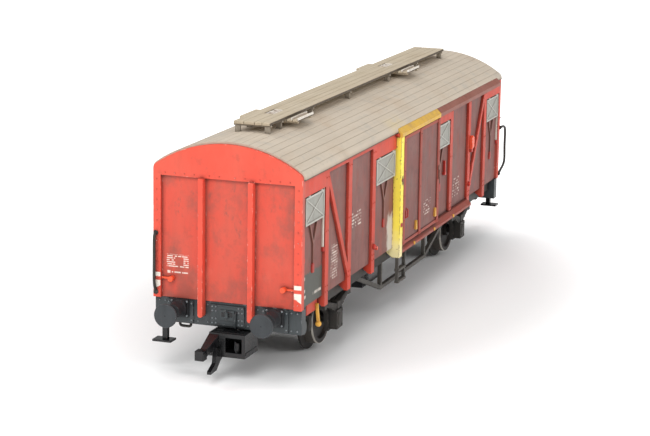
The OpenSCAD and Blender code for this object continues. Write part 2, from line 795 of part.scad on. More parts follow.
// The corner handrail, bent out from the end wall, and the grab bar under the headstock
module end_rails(rail) color("darkslategray") {
    reach = end_x + rail[0];
    rail_y = -body_w / 2 - rail[1];
    along_y(rail_y, rail_y + grip_d) difference() {
        bent_bar([[end_x, rail_high], [end_x + 0.7 * rail[0], rail_high - 0.2], [reach, rail_high - 1.1],
            [reach, rail_low + 1.7], [end_x + 0.4 * rail[0], rail_low + 0.5], [end_x, rail_low]], grip_d);
        translate([end_x - cut, 0]) square([cut, eave_z]);
    }
    along_x(headstock_x + 0.9, headstock_x + 0.9 + grip_d) difference() {
        bent_bar([[-grab_y0, headstock_bottom], [-grab_y0, headstock_bottom - grab_drop],
            [-grab_y1, headstock_bottom - grab_drop], [-grab_y1, headstock_bottom]], grip_d);
        translate([-grab_y1 - cut, headstock_bottom]) square([grab_y1, cut]);
    }
}

module lamp_bracket_pair() color("orangered") each_side() {
    block([sheet_x, lamp_y[0], lamp_z], [sheet_x + lamp_strip, body_w / 2 - corner_w, lamp_z + lamp_strip]);
    translate([sheet_x, lamp_y[1], lamp_z + lamp_strip / 2]) rotate([0, 90, 0])
        cylinder(d = lamp_d, h = lamp_l);
}

// The changeover lever on the gusset plate
module changeover_lever() color("gold") {
    along_y(sole_y + gusset_t, sole_y + gusset_t + lever_t)
        strip(lever_start, lever_end, lever_w);
    translate([lever_end[0], sole_y + gusset_t + lever_t / 2, lever_end[1] - knob_r / 2])
        sphere(r = knob_r, $fn = 20);
}

// The rope hook on the sole bar's end
module rope_hook() color("slategray") {
    along_y(sole_y, sole_y + hook_t) difference() {
        translate([-hook_x, hook_z]) circle(r = hook_r);
        translate([-hook_x, hook_z]) circle(r = hook_eye);
        translate([-hook_x - hook_eye - 1.25, hook_z - 1.2]) square([1.3, 1.2]);
    }
    block([-hook_x - 0.4, sole_y, hook_z + 0.8], [-hook_x + 0.4, sole_y + hook_t, body_z - 0.3]);
}

// ---- Running gear -------------------------------------------------------

// An axle and its two wheels, turned as one piece
module wheelset() color("silver") translate([axle_x, 0, axle_z]) rotate([90, 0, 0]) {
    for (side = [0, 1]) mirror([0, 0, side]) {
        rotate_extrude($fn = 72) polygon(wheel_profile);
        cylinder(d = axle_d, h = guard_y - shoulder_gap);
        cylinder(d = journal_d, h = journal_end);
    }
}

// ---- Couplers -----------------------------------------------------------

// The fixed pocket: a plate under the middle sills with the pin that the coupler swings on
module coupler_pocket() color("black") translate([pivot_x, 0, 0]) {
    pin_low = shank_low - coupler_gap;
    boss_low = shank_high + coupler_gap;
    translate([0, 0, pin_low]) cylinder(d = pivot_d, h = pocket_top - pin_low);
    translate([0, 0, boss_low]) cylinder(r = eye_r, h = pocket_top - boss_low);
    block([-pocket[0], -pocket[1], pocket_top - pocket[2]], [pocket[0], pocket[1], pocket_top]);
    translate([0, 0, pin_low - keeper]) cylinder(r = pivot_d / 2 + keeper, h = keeper);
}

// The claw coupler, drawn around its own pivot and pointing along +X
module coupler() color("black") translate([pivot_x, 0, 0]) difference() {
    union() {
        translate([0, 0, shank_low]) cylinder(r = eye_r, h = shank_t);
        block([0, -shank_half, shank_low], [head_x0 + bed, shank_half, shank_high]);
        difference() {
            block([head_x0, head_y0, head_bottom], [head_x1, head_y1, head_top]);
            block([head_x0 + 1.2, 0.6, head_bottom + 0.7], [head_x1 + cut, head_y1 - 0.5, head_top - 0.6]);
        }
        along_y(2.0, 2.5) polygon(catch_outline);
        hull() {
            block([head_x1 - 0.5, head_y0, head_top - 1.8], [head_x1, head_y0 + 1.6, head_top - 0.2]);
            block([head_x1 + 2.6, head_y0 - 0.2, head_bottom + 0.5],
                [head_x1 + 3, head_y0 + 0.7, head_bottom + 1.5]);
        }
        block([head_x1 + 2.9, head_y0 - 0.4, head_bottom + 0.3],
            [head_x1 + 4.3, head_y0 + 0.9, head_bottom + 1.7]);
        along_y(-0.8, -0.2) polygon(horn_outline);
    }
    translate([0, 0, shank_z - shank_t]) cylinder(r = pivot_d / 2 + pivot_play, h = 2 * shank_t);
}

floor_plate();  // floor
on_left() side_wall();  // side_wall_left
on_right() side_wall();  // side_wall_right
at_front() end_wall();  // end_wall_front
at_rear() end_wall();  // end_wall_rear
roof_shell();  // roof
on_left() side_frame();  // side_frame_left
on_right() side_frame();  // side_frame_right
union() { on_left() door_post(); on_right() door_post(); }  // door_posts
on_left() top_rail();  // top_rail_left
on_right() top_rail();  // top_rail_right
on_left() lower_rail();  // lower_rail_left
on_right() lower_rail();  // lower_rail_right
on_left() vent_flaps();  // vent_flaps_left
on_right() vent_flaps();  // vent_flaps_right
union() { on_left() flap_rod_set(); on_right() flap_rod_set(); }  // flap_rods
walkway_boards();  // walkway
walkway_legs();  // walkway_brackets
vent_heads();  // roof_vents
sole_bar_pair();  // sole_bars
sill_pair();  // middle_sills
cross_member_set();  // cross_members
at_front() headstock();  // headstock_front
at_rear() headstock();  // headstock_rear
at_front() buffer_pair();  // buffers_front
at_rear() buffer_pair();  // buffers_rear
at_front() guard_pair();  // axle_guards_front
at_rear() guard_pair();  // axle_guards_rear
all_brake_blocks();  // brake_blocks
brake_gear_box();  // brake_cylinder
air_tank_body();  // air_tank
on_left() truss();  // truss_left
on_right() truss();  // truss_right
ballast();  // ballast_weight
union() { on_left() door_step(); on_right() door_step(); }  // door_steps
union() { at_front() shunter_step(front_step); at_rear() shunter_step(rear_step); }  // shunter_steps
union() { at_front() end_rails(front_rail); at_rear() end_rails(rear_rail); }  // handrails
union() { at_front() lamp_bracket_pair(); at_rear() lamp_bracket_pair(); }  // lamp_brackets
union() { on_left() changeover_lever(); on_right() changeover_lever(); }  // changeover_levers
union() { on_left() rope_hook(); on_right() rope_hook(); }  // rope_hooks
union() { at_front() coupler_pocket(); at_rear() coupler_pocket(); }  // coupler_pockets
at_front() wheelset();  // wheelset_front
at_rear() wheelset();  // wheelset_rear
at_front() coupler();  // coupler_front
at_rear() coupler();  // coupler_rear
on_left() door();  // door_left
on_right() door();  // door_right
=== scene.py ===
import math

import bmesh
import bpy
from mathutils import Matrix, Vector


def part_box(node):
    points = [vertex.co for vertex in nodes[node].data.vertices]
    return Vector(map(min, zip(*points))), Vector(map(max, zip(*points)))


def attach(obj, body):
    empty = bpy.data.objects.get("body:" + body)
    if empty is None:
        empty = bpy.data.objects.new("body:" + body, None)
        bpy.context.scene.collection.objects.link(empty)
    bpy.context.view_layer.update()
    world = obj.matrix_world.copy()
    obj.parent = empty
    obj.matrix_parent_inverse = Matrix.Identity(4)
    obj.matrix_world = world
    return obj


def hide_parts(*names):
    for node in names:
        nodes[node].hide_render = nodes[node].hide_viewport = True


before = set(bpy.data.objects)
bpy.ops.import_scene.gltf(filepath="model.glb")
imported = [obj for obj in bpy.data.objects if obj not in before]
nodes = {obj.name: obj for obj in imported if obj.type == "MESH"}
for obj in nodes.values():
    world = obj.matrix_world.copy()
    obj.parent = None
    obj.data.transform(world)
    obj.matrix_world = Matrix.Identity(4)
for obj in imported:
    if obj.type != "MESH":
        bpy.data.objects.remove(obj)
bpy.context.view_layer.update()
MM = 0.001


# ---- Main places, in millimetres ----------------------------------------------

def mm_box(node):
    """A CAD node's lowest and highest corners in millimetres."""
    low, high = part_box(node)
    return low / MM, high / MM


def solids(node):
    """The boxes of a CAD node's separate solids, in millimetres, sorted along the wagon."""
    mesh = bmesh.new()
    mesh.from_mesh(nodes[node].data)
    bmesh.ops.remove_doubles(mesh, verts=mesh.verts, dist=1e-6)
    left_over, boxes = set(mesh.verts), []
    while left_over:
        todo, group = [left_over.pop()], []
        while todo:
            v = todo.pop()
            group.append(v.co / MM)
            for e in v.link_edges:
                o = e.other_vert(v)
                if o in left_over:
                    left_over.remove(o)
                    todo.append(o)
        boxes.append((Vector([min(p[i] for p in group) for i in range(3)]),
                      Vector([max(p[i] for p in group) for i in range(3)])))
    mesh.free()
    return sorted(boxes, key=lambda b: b[0].x)


roof_low, roof_high = mm_box("roof")
walk_low, walk_high = mm_box("walkway")
wall_low = mm_box("side_wall_left")[0]
end_high = mm_box("end_wall_rear")[1]
door_low, door_high = mm_box("door_left")
head_low, head_high = mm_box("headstock_rear")
buffer_low, buffer_high = mm_box("buffers_rear")
wheel_low, wheel_high = mm_box("wheelset_rear")

END_POST = 0.7              # how far the end's middle posts stand out of its frame
DOOR_RIB = 0.25             # how far a door's ribs stand out of its sheet
POST_X = (42.7, 32.5, 21.2)
DOOR_POST_X = 9.4
BUFFER_R = 1.75
WALK_HALF = 2.8             # half the walkway's width
WALK_T = 0.45               # a walkway board's thickness
BATTEN_T = 0.35
LEG_W = 0.35
EAVE_DROP = 0.2             # from the middle of the eave's curve down to the roof's edge
EAVE_R = 1.1
ROOF_T = 0.7
BOARD_W = 1.22

sheet_x = roof_high.x
end_x = end_high.x - END_POST
body_half = end_high.y
wall_y = -wall_low.y
post_y = -mm_box("side_frame_left")[0].y
body_z = wall_low.z
door_face = -door_low.y - DOOR_RIB
buffer_y = buffer_high.y - BUFFER_R
axle_x = (wheel_low.x + wheel_high.x) / 2
axle_z = (wheel_low.z + wheel_high.z) / 2
eave_z = roof_low.z + EAVE_DROP
roof_half = roof_high.y
roof_rise = roof_high.z - eave_z
crown_r = ((roof_half - EAVE_R) ** 2 + roof_rise ** 2 - EAVE_R ** 2) / (2 * (roof_rise - EAVE_R))
eave_turn = math.atan2(roof_half - EAVE_R, crown_r - roof_rise)


# ---- Finishes -----------------------------------------------------------------

class Value:
    """A value on its way through a finish. The usual operators add Math nodes."""

    def __init__(self, finish, socket):
        self.finish, self.socket = finish, socket

    def math(self, operation, *values):
        return self.finish.node("Math", {"operation": operation}, dict(enumerate(values)))

    def out(self, name):
        """Another output of the same node."""
        return Value(self.finish, self.socket.node.outputs[name])

    def __add__(self, other):
        return self.math("ADD", self, other)

    def __radd__(self, other):
        return self.math("ADD", other, self)

    def __sub__(self, other):
        return self.math("SUBTRACT", self, other)

    def __rsub__(self, other):
        return self.math("SUBTRACT", other, self)

    def __mul__(self, other):
        return self.math("MULTIPLY", self, other)

    def __rmul__(self, other):
        return self.math("MULTIPLY", other, self)

    def __truediv__(self, other):
        return self.math("DIVIDE", self, other)

    def __abs__(self):
        return self.math("ABSOLUTE", self)

    def floor(self):
        return self.math("FLOOR", self)

    def part(self):
        return self.math("FRACT", self)

    def least(self, other):
        return self.math("MINIMUM", self, other)

    def root(self):
        return self.math("SQRT", self)

    def rise(self, low, high):
        """Goes smoothly from 0 at low to 1 at high."""
        return self.finish.node("MapRange", {"interpolation_type": "SMOOTHSTEP"},
                                {"Value": self, "From Min": low, "From Max": high})

    def between(self, low, high, soft=0.05):
        """1 between low and high, and 0 outside them."""
        return self.rise(low - soft, low + soft) * (1 - self.rise(high - soft, high + soft))


class Finish:
    """A material around one Principled shader, with places in millimetres."""

    def __init__(self, name, **constants):
        self.material = bpy.data.materials.new(name)
        self.material.use_nodes = True
        self.tree = self.material.node_tree
        self.tree.nodes.clear()
        self.shader = self.tree.nodes.new("ShaderNodeBsdfPrincipled")
        surface = self.tree.nodes.new("ShaderNodeOutputMaterial")
        self.tree.links.new(self.shader.outputs[0], surface.inputs[0])
        self.set(**constants)
        self.place = self.node("VectorMath", {"operation": "SCALE"},
                               {0: self.node("TexCoord").out("Object"), "Scale": 1 / MM})
        self.x = self.node("SeparateXYZ", {}, {0: self.place})
        self.y, self.z = self.x.out("Y"), self.x.out("Z")

    def node(self, kind, settings=None, inputs=None):
        """Adds a node and gives its first output: settings come first, then values or links."""
        made = self.tree.nodes.new("ShaderNode" + kind)
        for key, value in (settings or {}).items():
            setattr(made, key, value)
        for key, value in (inputs or {}).items():
            if isinstance(value, Value):
                self.tree.links.new(value.socket, made.inputs[key])
            else:
                made.inputs[key].default_value = value
        return Value(self, made.outputs[0])

    def set(self, **values):
        """Sets the shader's sockets, each named with _ for a space."""
        for key, value in values.items():
            socket = self.shader.inputs[key.replace("_", " ")]
            if isinstance(value, Value):
                self.tree.links.new(value.socket, socket)
            else:
                socket.default_value = value

    def mix(self, share, first, second):
        """The first colour, with a share of the second."""
        made = self.node("Mix", {"data_type": "RGBA"}, {0: share, 6: first, 7: second})
        return Value(self, made.socket.node.outputs[2])

    def cloud(self, size, stretch=(1, 1, 1), detail=3.0, rough=0.55, shift=0.0):
        """Soft noise from 0 to 1 with patches about size millimetres across."""
        spot = self.node("VectorMath", {"operation": "MULTIPLY_ADD"},
                         {0: self.place, 1: [1 / s for s in stretch], 2: [shift] * 3})
        return self.node("TexNoise", {}, {"Vector": spot, "Scale": 1 / size, "Detail": detail,
                                          "Roughness": rough})

    def rounded(self, width=0.07):
        """The surface's direction with its edges rounded over width."""
        return self.node("Bevel", {"samples": 4}, {"Radius": width * MM})

    def edges(self, width=0.12):
        """1 on edges and 0 on flats."""
        soft = self.rounded(width)
        flat = self.node("NewGeometry").out("Normal")
        match = self.node("VectorMath", {"operation": "DOT_PRODUCT"}, {0: soft, 1: flat}).out("Value")
        return (1 - match).rise(0.01, 0.16)

    def nooks(self, reach=1.2):
        """1 deep in corners and 0 in the open."""
        return 1 - self.node("AmbientOcclusion", {"samples": 4}, {"Distance": reach * MM}).out("AO")

    def relief(self, height, strength, depth=0.03, edge=0.07):
        """Small bumps on a surface with rounded edges."""
        bump = self.node("Bump", {}, {"Strength": strength, "Distance": depth * MM, "Height": height,
                                      "Normal": self.rounded(edge)})
        self.set(Normal=bump)


def paint(red, green, blue):
    """A colour from its 0 to 255 values on a screen."""
    def linear(v):
        v /= 255
        return v / 12.92 if v < 0.04045 else ((v + 0.055) / 1.055) ** 2.4
    return (linear(red), linear(green), linear(blue), 1)


WHITE = paint(236, 226, 214)
# the colour of the painted shade under the doors
UNDER_DOOR_SHADE = paint(52, 46, 44)


def marks(f, along, up, low, high, pitch, fill, shift=0.0):
    """Rows of short plain dashes in a box from low to high, like worn stencilling."""
    inside = along.between(low[0], high[0], 0.04) * up.between(low[1], high[1], 0.04)
    row = (up - low[1]) / pitch
    column = along / (pitch * 0.55) + shift
    cell = f.node("CombineXYZ", {}, {0: column.floor(), 1: row.floor()})
    chance = f.node("TexWhiteNoise", {"noise_dimensions": "2D"}, {"Vector": cell}).out("Value")
    dash = 1 - chance.rise(fill - 0.02, fill + 0.02)
    return inside * row.part().between(0.22, 0.72, 0.1) * dash


def weathered(name, base, faded, dirt_and_shade, rough=0.55, edge_wear_and_highlight=None, streak=0.35, mottle=0.25, shade=None):
    """Old matt paint: faded patches, rain streaks, blotches, painted shade with some grime in corners, and
    chipped edges that also carry painted highlights.
    """
    f = Finish(name, Specular_IOR_Level=0.4)
    patch = f.cloud(5, stretch=(1, 1, 1.5), detail=5, shift=3.1).rise(0.38, 0.68)
    rain = f.cloud(1.0, stretch=(1, 1, 6), detail=5, rough=0.65).rise(0.45, 0.72)
    blot = f.cloud(1.7, detail=6, rough=0.7, shift=6.3).rise(0.52, 0.68)
    colour = f.mix(patch * 0.6, base, faded)
    colour = f.mix(rain * streak, colour, dirt_and_shade)
    colour = f.mix(blot * mottle, colour, dirt_and_shade)
    # painted shade, with some grime, in corners and where parts meet: the shade colour, or the dirty colour
    # where no shade colour is given
    colour = f.mix(f.nooks(0.7).rise(0.06, 0.55) * 0.85, colour, shade or dirt_and_shade)
    if edge_wear_and_highlight:
        # chipped paint on edges, which also stands in for painted highlights along them
        chip_and_highlight = f.edges(0.14) * f.cloud(1.1, detail=5, rough=0.7, shift=7.7).rise(0.55, 0.62)
        colour = f.mix(chip_and_highlight * 0.85, colour, edge_wear_and_highlight)
    f.set(Roughness=rough - 0.12 + 0.25 * f.cloud(2.5, detail=4))
    f.relief(f.cloud(0.25, detail=2) + 0.5 * rain, 0.25)
    return f, colour


def end_finish(name, way):
    """Orange-red end: duller smudged panels, bright posts, a faded plain table and white corner marks."""
    f, colour = weathered(name, paint(222, 78, 58), paint(212, 90, 70), paint(158, 72, 58), mottle=0.3,
                          edge_wear_and_highlight=paint(250, 214, 200), streak=0.16, shade=paint(84, 36, 32))
    across, side = f.y * way, abs(f.y)
    panel = 1 - abs(f.x).rise(sheet_x + 0.1, sheet_x + 0.3)
    smudge = f.cloud(4, stretch=(1, 1, 1.4), detail=6, rough=0.65, shift=11.0).rise(0.44, 0.68)
    colour = f.mix(panel * (0.22 + 0.55 * smudge), colour, paint(150, 80, 68))
    stain = f.cloud(1.8, stretch=(1, 1, 2), detail=6, rough=0.75, shift=31.0).rise(0.56, 0.68)
    colour = f.mix(panel * stain * f.z.rise(14, 24) * 0.5, colour, paint(110, 78, 70))
    pale = f.cloud(6, detail=5, shift=5.0).rise(0.55, 0.75) * (1 - f.z.rise(12, 20))
    colour = f.mix(panel * pale * 0.4, colour, paint(236, 134, 112))
    table = marks(f, across, f.z, (6.1, 15.5), (9.5, 17.4), 0.3, 0.8)
    hollow = across.between(6.9, 8.2, 0.04) * f.z.between(15.85, 17.05, 0.04)
    line = marks(f, across, f.z, (6.2, 14.62), (8.7, 14.98), 0.36, 0.85, 4.0)
    square = across.between(8.95, 9.4, 0.04) * f.z.between(14.6, 15.0, 0.04)
    post = side.between(10.25, 11.36, 0.04) * abs(f.x).rise(end_x - 0.05, end_x - 0.03)
    box = f.z.between(14.1, 14.72, 0.04)
    point = f.z.rise(13.6, 13.5) * (f.z - 12.15 + (side - 11.3) * 0.6).rise(-0.03, 0.05)
    chalk = (table * (1 - hollow) + line + square) * 0.85 + post * (box + point)
    chipped = f.cloud(0.5, detail=3, shift=2.2).rise(0.3, 0.4)
    f.set(Base_Color=f.mix((chalk * chipped).least(1.0), colour, WHITE))
    return f.material


def side_finish(name, way, door=False):
    """Dusty red-brown sheet with rain streaks and a few plain marks. A door's ribs are redder."""
    f, colour = weathered(name, paint(126, 78, 72), paint(138, 94, 86), paint(90, 66, 62), rough=0.62,
                          streak=0.4, mottle=0.35, shade=paint(50, 30, 28))
    along = f.x * way
    rust = f.cloud(2.2, stretch=(1, 1, 2.5), detail=5, shift=5.0).rise(0.52, 0.75)
    colour = f.mix(rust * 0.35, colour, paint(158, 70, 54))
    grey = f.cloud(3.0, stretch=(1, 1, 1.5), detail=5, shift=15.0).rise(0.5, 0.75)
    colour = f.mix(grey * 0.45, colour, paint(116, 100, 92))
    ragged = f.cloud(1.2, detail=4) - 0.5
    if door:
        plain_marks = [((3.4, 13.6), (7.1, 16.1), 0.45, 0.5)]
        rib = abs(f.y).rise(door_face + 0.06, door_face + 0.12)
        colour = f.mix(rib * 0.75, colour, paint(166, 70, 54))
    else:
        slate = along.between(-51.6, -43.4, 0.06) * (f.z + ragged * 1.0).between(11.0, 15.7, 0.15)
        colour = f.mix(slate * 0.92, colour, paint(80, 86, 80))
        white = (along + ragged * 2).between(-12.9, -10.1, 0.6) * (f.z + ragged * 4).between(9.8, 16.6, 0.9)
        colour = f.mix(white * 0.85, colour, paint(206, 200, 190))
        plain_marks = [((-39.6, 12.4), (-36.6, 17.6), 0.42, 0.62),
                       ((-30.3, 18.2), (-26.0, 20.8), 0.5, 0.45, 3.0),
                       ((-51.4, 12.0), (-50.2, 15.4), 0.9, 0.45, 9.0),
                       ((-47.2, 11.9), (-43.8, 12.7), 0.8, 0.75, 9.0),
                       ((24.0, 12.6), (28.0, 16.0), 0.5, 0.35, 6.0)]
    chalk = 0.0
    for box in plain_marks:
        chalk += marks(f, along, f.z, *box)
    faded = f.cloud(0.7, detail=3, shift=4.4).rise(0.35, 0.65)
    f.set(Base_Color=f.mix((chalk * (0.35 + 0.45 * faded)).least(1.0), colour, WHITE))
    return f.material


def frame_finish():
    """Orange-red posts and boards that turn a little dusty towards the rail."""
    f, colour = weathered("frame_paint", paint(204, 62, 40), paint(190, 72, 52), paint(124, 56, 46),
                          edge_wear_and_highlight=paint(230, 150, 124), streak=0.25, shade=paint(92, 36, 30))
    low = (1 - f.z.rise(12, 27)) * f.cloud(6, detail=4).rise(0.35, 0.65)
    f.set(Base_Color=f.mix(low * 0.35, colour, paint(140, 76, 64)))
    return f.material


def rail_finish(name, way):
    """The door's top rail: yellow over the door post's end, then brown-red."""
    f, colour = weathered(name, paint(140, 84, 70), paint(150, 98, 86), paint(98, 64, 54),
                          edge_wear_and_highlight=paint(196, 146, 126))
    yellow = 1 - (f.x * way).rise(10.9, 11.3)
    gold = f.mix(f.cloud(3, detail=5, rough=0.7).rise(0.35, 0.7), paint(218, 174, 62), paint(190, 150, 84))
    f.set(Base_Color=f.mix(yellow, colour, gold))
    return f.material


def lower_rail_finish():
    """Red-brown rail, with painted shade in the nooks under the doors."""
    f, colour = weathered("lower_rail_paint", paint(158, 72, 58), paint(144, 88, 76), paint(84, 60, 52),
                          edge_wear_and_highlight=paint(204, 136, 116), streak=0.15)
    # painted shade: the nooks under the doors are darkened
    f.set(Base_Color=f.mix(f.nooks(2.0) * 0.5, colour, UNDER_DOOR_SHADE))
    return f.material


def post_finish():
    """Chipped yellow that fades to cream at its foot, with a dark blotch at the catch."""
    f, colour = weathered("post_yellow_paint", paint(255, 236, 84), paint(252, 226, 84), paint(226, 192, 92),
                          streak=0.1, mottle=0.12)
    foot = 1 - (f.z + f.cloud(1.5) * 3 - 1.5).rise(9.8, 14.6)
    colour = f.mix(foot * 0.8, colour, paint(246, 234, 190))
    ragged = f.edges(0.3) * f.cloud(0.6, detail=4, shift=1.0).rise(0.42, 0.5)
    chips = f.cloud(0.55, detail=5, shift=8.0).rise(0.64, 0.68)
    colour = f.mix((ragged + chips).least(1.0) * 0.85, colour, paint(124, 84, 60))
    blotch = (f.z + f.cloud(0.8) * 2).between(22.2, 23.4, 0.3) * abs(f.x).rise(9.7, 9.3)
    f.set(Base_Color=f.mix(blotch * 0.85, colour, paint(66, 72, 48)))
    return f.material


def rod_finish():
    """Red-brown linkages with red handles."""
    f, colour = weathered("rod_brown", paint(128, 78, 66), paint(140, 84, 70), paint(84, 58, 50), rough=0.5)
    f.set(Base_Color=f.mix(f.z.rise(17.0, 16.8), colour, paint(168, 54, 44)))
    return f.material


def board_number(f):
    """Which roof board a point is on, counted from the middle line."""
    turn = f.node("Math", {"operation": "ARCTAN2"}, {0: f.y, 1: f.z - (roof_high.z - crown_r)})
    return (turn * (crown_r / BOARD_W) + 0.5).floor()


def roof_finish(name, seam=False):
    """Dusty beige boards, each with its own tone, grey mottling and stains that run down them, and a painted
    shadow line along the lower edge.
    """
    f = Finish(name, Specular_IOR_Level=0.3)
    board = f.node("TexWhiteNoise", {"noise_dimensions": "1D"}, {"W": board_number(f)}).out("Value")
    tone = f.mix(board * 0.4, paint(200, 187, 170), paint(187, 174, 157))
    long_grain = f.cloud(0.7, stretch=(30, 1, 1), detail=6).rise(0.35, 0.8)
    stain = f.cloud(7, stretch=(1.6, 1, 1), detail=6, rough=0.65, shift=2.0).rise(0.45, 0.75)
    grey = f.cloud(4, detail=6, rough=0.7, shift=21.0).rise(0.5, 0.7)
    speck = f.cloud(0.6, detail=5, shift=9.0).rise(0.6, 0.75)
    colour = f.mix(long_grain * 0.25, tone, paint(166, 156, 140))
    colour = f.mix(stain * 0.5, colour, paint(180, 156, 130))
    colour = f.mix(grey * 0.45, colour, paint(168, 165, 158))
    colour = f.mix(speck * 0.3, colour, paint(146, 132, 114))
    yellow = f.x.between(-12.5, -6, 2) * abs(f.y).rise(8.5, 11) * f.cloud(1.5, shift=1.0).rise(0.4, 0.6)
    colour = f.mix(yellow * 0.3, colour, paint(214, 190, 120))
    eave = f.z.rise(eave_z + 0.5, eave_z - 0.1)
    colour = f.mix(eave * (0.2 + 0.4 * f.cloud(2)), colour, paint(138, 112, 92))
    # painted shadow: a dark line along the roof's lower edge, over the eaves
    colour = f.mix((1 - f.z.rise(roof_low.z + 0.06, roof_low.z + 0.24)) * 0.85, colour, paint(58, 46, 40))
    if seam:
        colour = f.mix(0.3, colour, paint(122, 108, 90))
    f.set(Base_Color=colour, Roughness=0.55 + 0.3 * f.cloud(2))
    f.relief(long_grain + f.cloud(0.3), 0.2)
    return f.material


def walk_finish():
    """Weathered walkway boards with a fine grain along the wagon, with painted shade in their nooks, and
    painted shade with some dirt on their side faces.
    """
    f = Finish("walkway_boards_paint", Specular_IOR_Level=0.3)
    grain = f.cloud(0.5, stretch=(26, 1, 1), detail=5).rise(0.35, 0.75)
    wide = f.cloud(6, detail=4)
    colour = f.mix(wide, paint(200, 188, 168), paint(186, 170, 144))
    colour = f.mix(grain * 0.35, colour, paint(150, 134, 110))
    # painted shade in the nooks between boards, battens and platforms
    colour = f.mix(f.nooks(0.5) * 0.6, colour, paint(96, 84, 70))
    side = abs(f.y)
    # the side faces of boards and platforms below their tops are darkened: painted shade, with some dirt
    board_side_shade = side.rise(WALK_HALF - 0.04, WALK_HALF - 0.01)
    board_side_shade *= 1 - side.rise(WALK_HALF + 0.01, WALK_HALF + 0.03)
    platform_side_shade = side.rise(walk_high.y - 0.05, walk_high.y - 0.02)
    below = 1 - f.z.rise(walk_high.z - 0.09, walk_high.z - 0.05)
    colour = f.mix((board_side_shade + platform_side_shade) * below * 0.9, colour, paint(72, 62, 54))
    f.set(Base_Color=colour, Roughness=0.6 + 0.2 * wide)
    f.relief(grain, 0.3)
    return f.material


def wheel_finish():
    """Blackened wheels with bright treads."""
    f = Finish("wheel_blackened", Specular_IOR_Level=0.5)
    across, up = abs(f.x) - axle_x, f.z - axle_z
    reach = (across * across + up * up).root()
    tread = reach.between(3.95, 4.3, 0.03) * abs(f.y).rise(5.75, 5.85)
    spin = f.cloud(0.4, detail=4)
    colour = f.mix(spin, paint(28, 26, 26), paint(52, 47, 43))
    rust = f.cloud(1.6, detail=4, shift=3).rise(0.5, 0.75)
    colour = f.mix(rust * 0.3, colour, paint(84, 60, 46))
    colour = f.mix(tread, colour, paint(74, 68, 62))
    shiny = reach.between(3.98, 4.12, 0.03) * abs(f.y).rise(7.1, 7.2)
    colour = f.mix(shiny, colour, paint(220, 214, 204))
    f.set(Base_Color=colour, Metallic=0.15 + 0.75 * shiny, Roughness=0.5 - 0.2 * shiny + 0.15 * spin)
    f.relief(spin, 0.2)
    return f.material


def plain_finish(name, base, faded, dirt_and_shade, metal=0.0, edge_wear_and_highlight=None, shade=None, **more):
    """One weathered colour all over. Colours are screen values."""
    f, colour = weathered(name, paint(*base), paint(*faded), paint(*dirt_and_shade), edge_wear_and_highlight=edge_wear_and_highlight and paint(*edge_wear_and_highlight),
                          shade=shade and paint(*shade), **more)
    f.set(Base_Color=colour, Metallic=metal)
    return f.material


# finish: (its material's name, base, faded and dirty colours, and its other settings); the dirty colour is
# also the painted corner shade where no shade is given, and the edge colour paints chips and highlights
PLAIN = {
    "flap": ("flap_grey_paint", (150, 149, 140), (162, 160, 152), (112, 108, 100),
             {"rough": 0.5, "edge_wear_and_highlight": (206, 200, 190), "shade": (84, 80, 74)}),
    "flap_rib": ("flap_rib_paint", (184, 182, 174), (174, 171, 162), (138, 133, 124), {"rough": 0.5}),
    "slate": ("headstock_slate", (56, 62, 64), (66, 71, 73), (36, 38, 40),
              {"rough": 0.42, "edge_wear_and_highlight": (140, 144, 144), "shade": (24, 26, 28)}),
    "rivet": ("rivet_worn", (112, 118, 122), (150, 154, 156), (74, 78, 80), {"rough": 0.35}),
    "gear": ("underframe_grey", (48, 45, 41), (62, 57, 52), (28, 26, 24),
             {"rough": 0.6, "edge_wear_and_highlight": (112, 104, 96), "shade": (18, 16, 15)}),
    "light_gear": ("truss_grey", (76, 73, 68), (88, 83, 77), (44, 41, 37),
                   {"rough": 0.6, "edge_wear_and_highlight": (146, 140, 132)}),
    "dark": ("buffer_dark", (26, 27, 30), (36, 38, 41), (16, 16, 18),
             {"rough": 0.62, "edge_wear_and_highlight": (104, 108, 110)}),
    "buffer_face": ("buffer_face_slate", (50, 54, 57), (60, 64, 67), (36, 38, 40),
                    {"rough": 0.55, "edge_wear_and_highlight": (108, 112, 114), "mottle": 0.35}),
    "black": ("coupler_black", (15, 15, 17), (25, 25, 27), (10, 10, 10), {"rough": 0.24, "streak": 0.1}),
    "red": ("fitting_red", (196, 48, 36), (180, 56, 42), (112, 40, 34), {"rough": 0.45}),
    "orange": ("fitting_orange", (246, 88, 50), (232, 92, 58), (176, 70, 48),
               {"rough": 0.42, "edge_wear_and_highlight": (255, 220, 200)}),
    "amber": ("fitting_amber", (232, 176, 66), (220, 156, 64), (150, 96, 50), {"rough": 0.45}),
    "white": ("strip_white", (232, 226, 216), (214, 204, 192), (166, 146, 132), {"rough": 0.5}),
    "leg": ("walkway_leg_grey", (150, 140, 126), (170, 160, 144), (96, 86, 74), {"rough": 0.6}),
    "ballast": ("ballast_steel_plain", (150, 150, 152), (136, 136, 138), (90, 88, 88),
                {"rough": 0.4, "metal": 0.9}),
    "wood": ("floor_grey", (84, 78, 72), (98, 90, 82), (50, 46, 42), {"rough": 0.7}),
}


def make_finishes():
    """The finishes that pieces and nodes share."""
    made = {"roof": roof_finish("roof_boards_paint"), "seam": roof_finish("roof_seams", seam=True),
            "frame": frame_finish(), "post": post_finish(), "lower_rail": lower_rail_finish(),
            "rod": rod_finish(), "steel": wheel_finish(), "walk": walk_finish()}
    for key, (name, base, faded, dirt_and_shade, more) in PLAIN.items():
        made[key] = plain_finish(name, base, faded, dirt_and_shade, **more)
    return made


